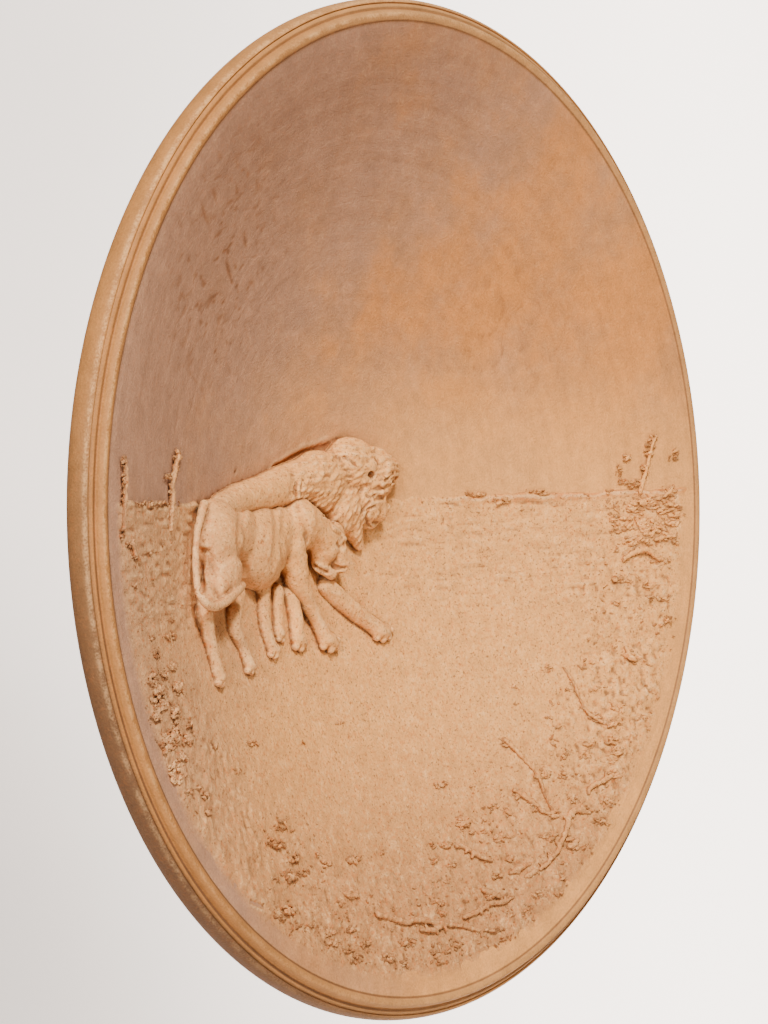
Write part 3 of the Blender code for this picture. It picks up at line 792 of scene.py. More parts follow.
def inside(outline, across, up):
    """Whether a place lies in a closed outline."""
    found = False
    for (x0, y0), (x1, y1) in zip(outline, outline[1:] + outline[:1]):
        if (y0 > up) != (y1 > up) and across < x0 + (up - y0) * (x1 - x0) / (y1 - y0):
            found = not found
    return found


def lock_direction(across, up):
    """Which way the mane flows here: back along the neck, down at the cheek and in the beard."""
    fall = float(smooth_step(-up, -16.0, 9.0)) * float(smooth_step(across, -34.0, -2.0))
    return math.radians(192 + 82 * fall)


def add_locks(lump, aim):
    """Locks of hair in rows over the mane, each a tapering roll that bends and lies on the skin."""
    rng = random.Random(11)
    up = -16.0
    row = 0
    while up < 30.0:
        across = -43.0 + (row % 2) * LOCK_GAP[0] / 2
        while across < 34.0:
            x = across + rng.uniform(-1.1, 1.1)
            y = up + rng.uniform(-0.9, 0.9)
            across += LOCK_GAP[0]
            bend = rng.uniform(-0.55, 0.55)
            length = LOCK_LENGTH * rng.uniform(0.7, 1.2)
            size = LOCK_RADIUS * rng.uniform(0.75, 1.15)
            if not inside(MANE_OUTLINE, x, y):
                continue
            angle = lock_direction(x, y) + rng.uniform(-0.28, 0.28)
            path, radii = [], []
            steps = 14
            for step in range(steps + 1):
                share = step / steps
                hit = aim.from_front(x, y)
                if hit is None:
                    break
                swell = 0.55 + 0.45 * math.sin(math.pi * min(1.0, share * 1.6))
                radius = size * swell * (1 - 0.6 * share)
                path.append(hit[0] + hit[1] * (LOCK_LIFT * radius))
                radii.append(radius)
                x += math.cos(angle) * length / steps
                y += math.sin(angle) * length / steps
                angle += bend / steps * (1 if share < 0.5 else -1.6)
            lump.roll(path, radii)
        up += LOCK_GAP[1]
        row += 1


def without_loose(points, faces):
    """Drops the points that no face uses, and tells which ones stay."""
    kept = np.unique(faces)
    number = np.zeros(len(points), int)
    number[kept] = np.arange(len(kept))
    return points[kept], number[faces], kept


def cut_behind(points, faces, depth):
    """Drops the faces that lie inside the bowl's wall, deeper than this below the hollow."""
    hidden = points[:, 2] < hollow_level(points[:, 0], points[:, 1]) - depth
    return without_loose(points, faces[~hidden[faces].all(1)])[:2]


def figure(masses, limbs, rounds, strokes, extra=None, tail=None):
    """One animal: soft masses first, then toes, eyes and hair, then the strokes of the tool."""
    body = Lump()
    for sizes in masses.values():
        body.mass(*sizes)
    for joints in limbs.values():
        body.limb(joints)
    points, faces = fused(body, ROUGH_VOXEL, 7)
    aim = Aim(points, faces)
    fine = Lump()
    fine.add(points, faces)
    for balls in rounds.values():
        for across, up, lift, radius in balls:
            fine.ball(seat(across, up, lift)[0], radius, 3)
    if tail:
        fine.limb(tail)
    if extra:
        extra(fine, aim)
    points, faces = fused(fine, FINE_VOXEL, 3)
    points, faces = cut_behind(points, faces, 2.0)
    aim = Aim(points, faces)
    for half_width, depth, drawn in strokes.values():
        path = aim.path(drawn)
        if path is not None:
            press(points, normals_of(points, faces), path, half_width, depth)
    grain = Grain(31)
    wobble = grain.rough(points[:, 0] + 0.7 * points[:, 2], points[:, 1], 2.2) * 0.09
    wobble += Grain(32).rough(points[:, 0] / 1.5, points[:, 1] + points[:, 2], 6.0, 2) * 0.22
    points += normals_of(points, faces) * wobble[:, None]
    return points, faces


def lion_details(lump, aim):
    """The mane's locks, the round ear and the tufts on the forehead."""
    add_locks(lump, aim)
    centre, directions = seat(7.5, 18.2, 12.0)
    lump.egg(centre, directions, (3.6, 3.7, 2.4), 3)
    for drawn in (
        [(1190, 340), (1215, 330), (1243, 338)],
        [(1185, 372), (1218, 356), (1250, 366)],
        [(1180, 402), (1215, 392), (1250, 398)],
        [(1150, 320), (1180, 305), (1212, 312)],
        [(1160, 440), (1195, 428), (1225, 436)],
    ):
        path = aim.path(drawn)
        if path is not None:
            lump.roll(path, np.linspace(1.5, 0.7, len(path)), 2)


def lioness_details(lump, aim):
    """Both ears and the fold of skin over the brow."""
    for drawn, radii in (
        ([(852, 592), (872, 578), (896, 590)], (1.5, 2.2)),
        ([(912, 610), (934, 608), (952, 628)], (1.2, 1.5)),
        ([(905, 668), (938, 692), (962, 728)], (1.3, 1.2)),
    ):
        path = aim.path(drawn)
        if path is not None:
            lump.roll(path, np.linspace(radii[0], radii[1], len(path)), 2)


def finish_piece(name, points, faces, tone, material, marks=None):
    """Puts a skin into the scene in metres, with the values that its colour reads."""
    placed = np.stack([points[:, 0], -(points[:, 2] + BACK_PLANE), points[:, 1] - FOOT_MIDDLE], axis=1) * MM
    mesh = new_mesh(name, placed, faces)
    mesh.shade_smooth()
    for key, values in {"crease": tone, **(marks or {})}.items():
        attribute = mesh.attributes.new(key, "FLOAT", "POINT")
        attribute.data.foreach_set("value", np.ascontiguousarray(values, np.float32))
    obj = link_object(name, mesh)
    mesh.materials.append(material)
    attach(obj, "root")
    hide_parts("relief_bowl")
    return obj


def ground_edge(across):
    """How high up the ground reaches here: it bends up on the right and lies lower on the left."""
    right = GROUND_EDGE_LEVEL + GROUND_EDGE_RISE * across**2
    return np.where(across > -60, right, GROUND_EDGE_LEFT + 0.4 * smooth_step(-across, 150, 190))


def outer_wall_point(radius):
    slope = float(hollow_slope(radius))
    length = math.hypot(1, slope)
    return radius + WALL * slope / length, float(hollow_level(radius, 0.0)) - WALL / length


def bowl_outline():
    """Half section from the hollow's middle, round the lip and down the outside to the foot."""
    rings = round(EDGE_RADIUS / HOLLOW_RING_GAP)
    radii = [EDGE_RADIUS * ring / rings for ring in range(rings)]
    points = [(radius, float(hollow_level(radius, 0.0))) for radius in radii]
    for across, up in smooth_path(LIP_OUTLINE, 5):
        radius = min(EDGE_RADIUS + across * LIP_WIDTH, OUTER_RADIUS)
        points.append((radius, min(up * LIP_HEIGHT, LIP_CREST)))
    start, steps = EDGE_RADIUS * 0.9, 36
    for step in range(steps):
        points.append(outer_wall_point(start + (FOOT_RADIUS - start) * step / steps))
    inner = FOOT_RADIUS - FOOT_WIDTH
    corners = [
        (FOOT_RADIUS, outer_wall_point(FOOT_RADIUS)[1]), (FOOT_RADIUS, -BACK_PLANE + FOOT_ROUNDING),
        (FOOT_RADIUS - FOOT_ROUNDING, -BACK_PLANE), (inner + FOOT_ROUNDING, -BACK_PLANE),
        (inner, -BACK_PLANE + FOOT_ROUNDING), (inner - FOOT_ROUNDING, -BOWL_DEPTH - WALL),
    ]
    for (x0, y0), (x1, y1) in zip(corners, corners[1:] + [(0.0, -BOWL_DEPTH - WALL)]):
        parts = max(1, round(math.hypot(x1 - x0, y1 - y0) / 4))
        points += [(x0 + (x1 - x0) * part / parts, y0 + (y1 - y0) * part / parts) for part in range(parts)]
    return points


def turned(outline):
    """A closed solid turned from a half section that starts and ends near the axis."""
    section = np.array(outline[1:])
    turns = np.arange(TURN_STEPS) * 2 * math.pi / TURN_STEPS
    across = section[:, 0, None] * np.cos(turns)
    up = section[:, 0, None] * np.sin(turns)
    level = np.repeat(section[:, 1, None], TURN_STEPS, axis=1)
    points = np.stack([across, up, level], axis=-1).reshape(-1, 3)
    ring, turn = np.meshgrid(np.arange(len(section) - 1), np.arange(TURN_STEPS), indexing="ij")
    here = ring * TURN_STEPS + turn
    beside = ring * TURN_STEPS + (turn + 1) % TURN_STEPS
    first = np.stack([here, here + TURN_STEPS, beside + TURN_STEPS], axis=-1).reshape(-1, 3)
    second = np.stack([here, beside + TURN_STEPS, beside], axis=-1).reshape(-1, 3)
    front, back = len(points), len(points) + 1
    points = np.concatenate([points, [[0, 0, outline[0][1]], [0, 0, outline[-1][1]]]])
    inner = np.arange(TURN_STEPS)
    outer = inner + (len(section) - 1) * TURN_STEPS
    cap_front = np.stack([np.full(TURN_STEPS, front), inner, np.roll(inner, -1)], axis=1)
    cap_back = np.stack([np.full(TURN_STEPS, back), np.roll(outer, -1), outer], axis=1)
    return points, np.concatenate([first, second, cap_front, cap_back])


def cord_hole_cutter(side):
    mesh = bpy.data.meshes.new("cord_hole")
    bm = bmesh.new()
    turn = Matrix.Rotation(-side * CORD_HOLE_ANGLE, 4, "Z") @ Matrix.Rotation(math.pi / 2, 4, "X")
    across = FOOT_MIDDLE * math.sin(side * CORD_HOLE_ANGLE)
    up = FOOT_MIDDLE * math.cos(CORD_HOLE_ANGLE)
    bmesh.ops.create_cone(
        bm,
        cap_ends=True,
        segments=20,
        radius1=CORD_HOLE_RADIUS,
        radius2=CORD_HOLE_RADIUS,
        depth=3 * FOOT_WIDTH,
        matrix=Matrix.Translation((across, up, FOOT_HEIGHT / 2 - BACK_PLANE)) @ turn,
    )
    bm.to_mesh(mesh)
    bm.free()
    return link_object("cord_hole", mesh)


def sky_marks(across, up, marks_depth):
    """Turning marks round the axis, and dabs of a soft tool, most on the upper left."""
    radius = np.hypot(across, up)
    turn = np.arctan2(up, across)
    rings = Grain(5).at(radius / 3.1, np.cos(turn) * 0.9)
    rings = rings + 0.6 * Grain(6).at(radius / 7.0, np.sin(turn) * 1.4)
    region = np.exp(-(((across + 118) / 46) ** 2 + ((up - 95) / 48) ** 2))
    region = region + 0.5 * np.exp(-(((across - 95) / 40) ** 2 + ((up - 80) / 35) ** 2))
    bent = Grain(8).at(across / 14, up / 14) * 5
    dabs = np.abs(Grain(9).at((across + bent) / 8.5, (up - bent) / 5.5))
    dabs = np.clip(0.28 - dabs, 0.0, 1.0) / 0.28
    return marks_depth * rings - 0.30 * region * dabs


def ground_height(across, up, thickness, stroke_height):
    """How far the modelled ground stands over the hollow: strokes, soft lumps and a broken upper edge."""
    radius = np.hypot(across, up)
    edge = ground_edge(across) + 0.7 * Grain(12).rough(across, up * 0, 7.0, 4)
    ragged = np.where(across > 66, 1.0, np.where(across < -110, 0.8, 0.35))
    cover = smooth_step(edge - up, -0.4, 1.4) * smooth_step(198.5 - radius, 0.0, 14.0)
    left = smooth_step(-across, 98.0, 116.0) * smooth_step(up, -56.0, -38.0)
    right = smooth_step(across, 14.0, 44.0) * smooth_step(up, -52.0, -34.0)
    arc = smooth_step(radius, 120.0, 170.0) * smooth_step(-up, 40.0, 90.0)
    side = smooth_step(across, 110.0, 156.0) * smooth_step(-up, 0.0, 30.0)
    short_strokes = Grain(13).rough(across / 3.2, up, 1.9, 2)
    long_strokes = Grain(17).rough(across / 7.0, up + 1.6 * Grain(18).at(across / 16.0, up / 9.0), 2.3, 2)
    lumps = Grain(14).rough(across, up, 7.0, 2)
    fine = Grain(15).rough(across, up, 2.6, 2)
    height = thickness * (0.55 + 0.45 * ragged)
    height = height + stroke_height * (1.3 * left * short_strokes + 0.8 * right * long_strokes)
    height = height + lumps * (0.08 + 0.12 * left + 0.08 * right + 0.42 * arc + 0.34 * side)
    height = height + fine * (0.06 + 0.10 * left + 0.08 * right + 0.30 * arc + 0.26 * side)
    lip = np.exp(-(((up - edge + 1.5) / 1.3) ** 2))
    lip = lip * (0.5 + 0.5 * Grain(16).at(across / 4.0, up * 0)) * smooth_step(across, 60.0, 84.0)
    height = np.maximum(height + 0.8 * lip, 0.12)
    return height * cover - 0.25 * (1 - cover), cover


def strewn(rng, field, spread):
    """A random place in an oval field, and how far out it lies as a share of the field's half size."""
    place_across, place_up, half_across, half_up = field
    angle = rng.uniform(0, 2 * math.pi)
    reach = math.sqrt(rng.random()) * spread
    across = place_across + half_across * reach * math.cos(angle)
    return across, place_up + half_up * reach * math.sin(angle), reach


def speck_holes(points):
    for across, up, radius, depth in SPECK_HOLES:
        gap = np.hypot(points[:, 0] - across, points[:, 1] - up)
        front = points[:, 2] > hollow_level(points[:, 0], points[:, 1]) - 2
        points[:, 2] -= depth * np.clip(1 - (gap / radius) ** 2, 0.0, 1.0) * front


class Wire:
    """A node's output. Used in an expression on values, it adds the Math nodes that the expression needs."""

    def __init__(self, finish, socket):
        self.finish = finish
        self.socket = socket

    def maths(self, operation, *values):
        return self.finish.node("ShaderNodeMath", {"operation": operation}, dict(enumerate(values)))

    def __add__(self, other):
        return self.maths("ADD", self, other)

    __radd__ = __add__

    def __sub__(self, other):
        return self.maths("SUBTRACT", self, other)

    def __rsub__(self, other):
        return self.maths("SUBTRACT", other, self)

    def __mul__(self, other):
        return self.maths("MULTIPLY", self, other)

    __rmul__ = __mul__

    def __truediv__(self, other):
        return self.maths("DIVIDE", self, other)

    def __pow__(self, other):
        return self.maths("POWER", self, other)

    def __abs__(self):
        return self.maths("ABSOLUTE", self)

    def most(self, other):
        return self.maths("MAXIMUM", self, other)

    def step(self, start, end):
        """0 up to start, 1 from end on, and smooth between them."""
        return self.finish.node(
            "ShaderNodeMapRange",
            {"interpolation_type": "SMOOTHSTEP"},
            {"Value": self, "From Min": start, "From Max": end},
        )


class Finish:
    """One material and the nodes in it."""

    def __init__(self, name):
        self.material = bpy.data.materials.new(name)
        self.material.use_nodes = True
        self.tree = self.material.node_tree
        self.tree.nodes.clear()

    def node(self, kind, settings=None, inputs=None, output=0):
        """Adds a node: its settings first, then the values or links of its sockets."""
        made = self.tree.nodes.new(kind)
        for key, value in (settings or {}).items():
            setattr(made, key, value)
        for key, value in (inputs or {}).items():
            if isinstance(value, Wire):
                self.tree.links.new(value.socket, made.inputs[key])
            else:
                made.inputs[key].default_value = value
        return Wire(self, made.outputs[output])

    def place_parts(self):
        """The place on the object, and its three parts."""
        place = self.node("ShaderNodeTexCoord", None, None, "Object")
        split = self.node("ShaderNodeSeparateXYZ", None, {0: place}).socket.node
        return place, *(Wire(self, output) for output in split.outputs)

    def noise(self, place, scale, detail, roughness):
        inputs = {"Vector": place, "Scale": scale, "Detail": detail, "Roughness": roughness}
        return self.node("ShaderNodeTexNoise", None, inputs)

    def colour(self, factor, first, second, blend="MIX"):
        """Goes from the first colour to the second as the factor goes from 0 to 1."""
        settings = {"data_type": "RGBA", "blend_type": blend}
        return self.node("ShaderNodeMix", settings, {0: factor, 6: first, 7: second}, 2)

    def over(self, base, factor, paint):
        """Lays one plain colour over the base, as far as the factor says."""
        return self.colour(factor, base, opaque(paint))

    def shaded(self, colour, value):
        """Makes a colour darker or paler by a value."""
        grey = self.node("ShaderNodeCombineColor", None, {0: value, 1: value, 2: value})
        return self.colour(1.0, colour, grey, "MULTIPLY")

    def stored(self, name):
        return self.node("ShaderNodeAttribute", {"attribute_name": name}, None, "Fac")

    def surfaced(self, inputs):
        """Closes the material with its shader."""
        shader = self.node("ShaderNodeBsdfPrincipled", None, inputs)
        output = self.tree.nodes.new("ShaderNodeOutputMaterial")
        self.tree.links.new(shader.socket, output.inputs["Surface"])
        return self.material


def opaque(colour):
    return (*colour, 1.0)


def terracotta(clay):
    """Unglazed fired clay: mottled, streaked by turning, with darker and redder painted shade in creases and
    gaps, painted shade on the sky's upper left and top and in the lip's grooves, and painted highlights with
    some wear on the lip's crests.
    """
    finish = Finish("terracotta")
    place, across, depth, rise = finish.place_parts()
    height = rise + FOOT_MIDDLE * MM
    radius = (across * across + height * height) ** 0.5
    blotch = finish.noise(place, 17.0, 4.0, 0.6)
    cloud = finish.noise(place, 45.0, 4.0, 0.6)
    mottle = finish.noise(place, 150.0, 4.0, 0.62)
    flecks = finish.noise(place, 560.0, 4.0, 0.65)
    specks = finish.noise(place, 950.0, 2.0, 0.5)
    speckle = finish.noise(place, 1200.0, 2.0, 0.5)
    away = radius + 0.01
    turned_place = {0: radius, 1: across / away * 0.02, 2: height / away * 0.02}
    streak = finish.noise(finish.node("ShaderNodeCombineXYZ", None, turned_place), 260.0, 3.0, 0.6)
    ground, crease, edge_line_and_undercut_shade, shut = (finish.stored(name) for name in ("ground", "crease", "edge", "shut"))

    # Painted shade and light: the sky is greyer and darker on its upper left and paler on its light side
    light_side = (across * 3.0 - height * 1.5 + (blotch - 0.5) * 1.5 + 0.52).step(0.0, 1.0)
    sky = finish.colour(light_side, opaque(clay.shade_colour), opaque(clay.sky_colour))
    warm = ((blotch * 0.6 + cloud * 0.4) + across * 0.7).step(0.50, 0.68)
    sky = finish.over(sky, warm * 0.5, clay.warm_colour)
    # Painted shade: the sky is darker along its top, reaching further down on the left
    dull = (height - across * 0.35 + (blotch - 0.5) * 0.05).step(0.10, 0.21)
    sky = finish.over(sky, dull * 0.55, clay.top_shade_colour)
    near_horizon = (0.085 - height).step(0.0, 0.08) * across.step(-0.11, 0.06)
    sky = finish.over(sky, near_horizon * 0.8, clay.ground_colour)

    # Painted shade: the ground on the left is darker than on the right
    right_soil = (across * 6.0 + (blotch - 0.5) * 0.8 + 1.15).step(0.0, 1.0)
    soil = finish.colour(right_soil, opaque(clay.shaded_ground_colour), opaque(clay.ground_colour))
    low_soil = (0.0 - height + (cloud - 0.5) * 0.04).step(0.075, 0.175)
    soil = finish.over(soil, low_soil, clay.low_ground_colour)
    soil = finish.over(soil, ((cloud - 0.5) * 2.0).step(0.1, 0.7) * 0.35, clay.warm_colour)
    # Orange line along the ground's edge, and painted shade in the hollow above the lion's back
    base = finish.over(finish.colour(ground, sky, soil), edge_line_and_undercut_shade * 0.9, clay.orange_and_undercut_shade_colour)

    lip = radius.step(0.1993, 0.2003)
    lower_left = (across * -0.75 - height * 0.66).step(0.085, 0.215)
    base = finish.over(base, lip * 0.85, clay.lip_colour)
    base = finish.over(base, lip * (across * -1.0).step(-0.02, 0.16) * 0.8, clay.roll_colour)
    # Painted shade with some stain: the outside of the lip is darkened, most on the lower left
    outside = radius.step(0.2062, 0.2078).most((depth + 0.071).step(0.004, 0.009) * lip)
    shade_and_stain = lower_left * outside * (cloud * 0.9 + 0.35).step(0.2, 0.7)
    base = finish.over(base, shade_and_stain * 0.9, clay.deep_shade_and_stain_colour)
    # Painted shade in the lip's groove and along its inner edge, deepest on the lower left
    groove = (0.0008 - abs(radius - GROOVE_LINE)).step(0.0, 0.0005)
    grooves = groove.most((0.0007 - abs(radius - EDGE_LINE)).step(0.0, 0.0005))
    base = finish.over(base, grooves * (lower_left * 0.5 + 0.35), clay.deep_shade_and_stain_colour)
    # Painted highlight with some wear: pale lines along the crests of the bead and the roll, strongest on
    # the upper left and only on the front
    bead_crest = abs(radius - BEAD_CREST).step(0.0011, 0.0002)
    crest = bead_crest.most(abs(radius - ROLL_CREST).step(0.0009, 0.0002))
    highlight_side = (across * -0.8 + height * 0.45).step(-0.05, 0.2) * 0.22 + 0.05
    crest_highlight_and_wear = crest * highlight_side * (mottle * 0.7 + speckle * 0.3).step(0.40, 0.60)
    base = finish.over(base, crest_highlight_and_wear * (depth + 0.0665).step(0.004, 0.0), clay.pale_and_highlight_colour)

    # Painted shade in gaps near the figures and painted shadow under the plants, darkest deepest in
    gap_shade = (shut + (cloud - 0.5) * 0.15).step(0.10, 0.50)
    base = finish.over(base, gap_shade * 0.9, clay.shade_and_speck_colour)
    base = finish.over(base, (shut + (mottle - 0.5) * 0.1).step(0.40, 0.75) * 0.85, clay.deep_shade_and_stain_colour)
    # Painted shade in creases, and ridges paler
    base = finish.over(base, (crease - 0.5).step(0.02, 0.34) * clay.crease_shade_strength, clay.shade_and_speck_colour)
    base = finish.over(base, (0.5 - crease).step(0.04, 0.4) * (0.45 - lip * 0.40), clay.pale_and_highlight_colour)
    base = finish.over(base, specks.step(0.58, 0.70) * (ground * 0.6 + 0.15), clay.shade_and_speck_colour)
    pale = (flecks * 0.7 + mottle * 0.3).step(0.50, 0.70) * (ground * 0.38 + 0.08) * (1 - lip * 0.8)
    base = finish.over(base, pale, clay.pale_and_highlight_colour)
    base = finish.over(base, (0.5 - flecks).step(0.02, 0.16) * (ground * 0.35 + 0.1), clay.orange_and_undercut_shade_colour)
    tone = (mottle - 0.5) * 0.50 + (speckle - 0.5) * 0.45 + (cloud - 0.5) * 0.30 + 1.0
    tone = tone + (streak - 0.5) * 0.26 * (1 - ground)

    surface = mottle * 0.55 + speckle * 0.35 + streak * 0.5 * (1 - ground)
    bump_inputs = {"Strength": clay.grain_strength, "Distance": 0.0009, "Height": surface}
    return finish.surfaced({
        "Base Color": finish.shaded(base, tone),
        "Roughness": (mottle - 0.5) * 0.25 + clay.roughness - lip * 0.16,
        "Normal": finish.node("ShaderNodeBump", None, bump_inputs),
        "Specular IOR Level": 0.28,
    })


def clay_material(context):
    """The shared finish, made by the first operator that needs it."""
    found = bpy.data.materials.get("terracotta_fine")
    if found is None:
        found = terracotta(context.scene.wall_bowl_clay)
        found.name = "terracotta_fine"
    return found


def colour_property(name, description, default):
    return bpy.props.FloatVectorProperty(
        name=name, description=description, default=default, subtype="COLOR", size=3, min=0.0, max=1.0
    )


def amount_property(name, description, default, least=0.0):
    return bpy.props.FloatProperty(name=name, description=description, default=default, min=least)


def share_property(name, description, default):
    return bpy.props.FloatProperty(
        name=name, description=description, default=default, min=0.0, max=1.0, subtype="FACTOR"
    )


def power_property(name, description, default):
    return bpy.props.FloatProperty(
        name=name, description=description, default=default, min=0.0, unit="POWER"
    )


class WallBowlClay(bpy.types.PropertyGroup):
    """Sizes and colours of the clay."""

    turning_depth: amount_property(
        "Turning marks", "Height of the turning marks in the sky, in millimetres", 0.07
    )
    ground_thickness: amount_property(
        "Ground layer", "Thickness of the modelled ground, in millimetres", 0.75, 0.2
    )
    stroke_height: amount_property(
        "Ground strokes", "Height of the strokes in the ground, in millimetres", 0.36
    )
    roughness: share_property("Roughness", "Mean roughness of the fired surface", 0.84)
    grain_strength: share_property("Grain", "Strength of the fine grain", 0.6)
    # How strong the painted shade in creases is
    crease_shade_strength: share_property("Crease colour", "How much colour gathers in creases", 0.75)
    # The sky is painted paler on its light side and darker, as painted shade, on its upper left
    sky_colour: colour_property("Sky", "Clay of the smooth sky on its light side", (0.50, 0.20, 0.055))
    shade_colour: colour_property("Shaded side", "Greyer clay on the upper left", (0.385, 0.19, 0.10))
    # Painted shade along the top of the sky
    top_shade_colour: colour_property("Dull sky", "Darker clay along the top of the sky", (0.21, 0.09, 0.045))
    warm_colour: colour_property("Warm patches", "Orange patches in the clay", (0.56, 0.19, 0.03))
    ground_colour: colour_property(
        "Ground", "Paler clay of the ground and the animals", (0.76, 0.33, 0.085)
    )
    # Painted shade in creases and gaps, and dark specks in the clay
    shade_and_speck_colour: colour_property("Creases", "Darker, redder clay in creases", (0.19, 0.065, 0.018))
    # Painted shade on the ground on the left
    shaded_ground_colour: colour_property(
        "Ground in shade", "Ground on the left, under the rim", (0.50, 0.24, 0.095)
    )
    low_ground_colour: colour_property(
        "Low ground", "Browner ground along the lower edge", (0.50, 0.215, 0.068)
    )
    # Orange line along the ground's edge, orange flecks, and painted shade in the hollow above the lion's
    # back
    orange_and_undercut_shade_colour: colour_property(
        "Ground edge", "Orange line along the ground's upper edge", (0.55, 0.14, 0.02)
    )
    roll_colour: colour_property(
        "Roll", "Browner, waxier clay on the left of the lip", (0.34, 0.125, 0.022)
    )
    lip_colour: colour_property("Lip", "Darker, handled clay of the lip", (0.46, 0.21, 0.06))
    # Pale flecks, paler ridges, and painted highlights with some wear along the lip's crests
    pale_and_highlight_colour: colour_property(
        "Worn clay", "Pale clay where the surface is rubbed", (0.86, 0.50, 0.21)
    )
    # Painted shade in the lip's grooves and the deepest gaps, and painted shade with some stain on the lower
    # left of the lip
    deep_shade_and_stain_colour: colour_property(
        "Stain", "Dark stain under the lower left of the lip", (0.085, 0.035, 0.015)
    )


class WallBowlStudio(bpy.types.PropertyGroup):
    """Light and surroundings."""

    key_power: power_property("Main light", "Power of the soft main light", 148.0)
    fill_power: power_property("Fill light", "Power of the fill light", 70.0)
    surround: amount_property("Surround", "Strength of the even light from all sides", 0.22)
    floor_glow: amount_property("Floor brightness", "Brightness of the sweep behind the bowl", 4.5)
    far_glow: amount_property("Far brightness", "Least brightness of the floor, as a share", 0.04)
    floor_colour: colour_property("Floor", "Pale floor and sweep", (0.86, 0.77, 0.70))


class WALLBOWL_OT_body(bpy.types.Operator):
    """Turned bowl: hollow with turning marks, moulded lip, outside wall, foot ring and cord holes"""

    bl_idname = "wall_bowl.body"
    bl_label = "Bowl"

    def execute(self, context):
        clay = context.scene.wall_bowl_clay
        points, faces = turned(bowl_outline())
        cutters = [cord_hole_cutter(side) for side in (-1, 1)]
        bpy.context.view_layer.update()
        cut = {"operation": "DIFFERENCE", "solver": "MANIFOLD"}
        points, faces = worked(
            points, faces, [("BOOLEAN", {**cut, "object": cutter}) for cutter in cutters], cutters
        )
        radius = np.hypot(points[:, 0], points[:, 1])
        inner = smooth_step(EDGE_RADIUS - radius, 1.0, 6.0)
        inner *= points[:, 2] > hollow_level(points[:, 0], points[:, 1]) - 0.5
        points[:, 2] += inner * sky_marks(points[:, 0], points[:, 1], clay.turning_depth)
        half_width, depth, drawn = BACK_UNDERCUT
        path = np.array([seat(across, up)[0] for across, up in smooth_path(drawn, 4)])
        press(points, normals_of(points, faces), path, half_width, depth)
        speck_holes(points)
        # Painted shade in the hollow above the lion's back, in the orange edge colour
        gap = np.min(np.linalg.norm(points[:, None] - path[None], axis=2), axis=1)
        marks = {"edge": 0.9 * np.exp(-((gap / 2.2) ** 2))}
        tone = crease_tone(points, faces, 8, 0.28)
        finish_piece("turned_bowl", points, faces, tone, clay_material(context), marks)
        return {"FINISHED"}


class WALLBOWL_OT_ground(bpy.types.Operator):
    """Ground modelled over the lower half of the hollow"""

    bl_idname = "wall_bowl.ground"
    bl_label = "Ground"

    def execute(self, context):
        clay = context.scene.wall_bowl_clay
        reach = EDGE_RADIUS - 1.0
        columns = np.arange(-reach, reach, GROUND_GRID)
        rows = np.arange(-reach, 12.0, GROUND_GRID)
        across, up = np.meshgrid(columns, rows, indexing="ij")
        height, cover = ground_height(across, up, clay.ground_thickness, clay.stroke_height)
        level = hollow_level(across, up) + height
        points = np.stack([across, up, level], axis=-1).reshape(-1, 3)
        number = np.arange(len(points)).reshape(across.shape)
        used = (np.hypot(across, up) < reach) & (up < ground_edge(across) + 2.6)
        cell = used[:-1, :-1] & used[1:, :-1] & used[1:, 1:] & used[:-1, 1:]
        start, beside = number[:-1, :-1][cell], number[1:, :-1][cell]
        across_from, above = number[1:, 1:][cell], number[:-1, 1:][cell]
        lower = np.stack([start, beside, across_from], axis=1)
        upper = np.stack([start, across_from, above], axis=1)
        points, faces, kept = without_loose(points, np.concatenate([lower, upper]))
        speck_holes(points)
        for scratch in SCRATCHES:
            path = np.array([seat(*place, clay.ground_thickness)[0] for place in scratch])
            press(points, normals_of(points, faces), path, SCRATCH_HALF_WIDTH, SCRATCH_DEPTH)
        edge = ground_edge(points[:, 0]) - points[:, 1]
        line = np.exp(-(((edge - 1.2) / 1.9) ** 2)) * smooth_step(points[:, 0], 66.0, 88.0)
        line *= 0.55 + 0.45 * Grain(19).at(points[:, 0] / 6.0, points[:, 1] / 3.0)
        marks = {"ground": smooth_step(cover.reshape(-1)[kept], 0.1, 0.8), "edge": np.clip(line, 0, 1)}
        tone = crease_tone(points, faces, 4, 0.34)
        finish_piece("modelled_ground", points, faces, tone, clay_material(context), marks)
        return {"FINISHED"}


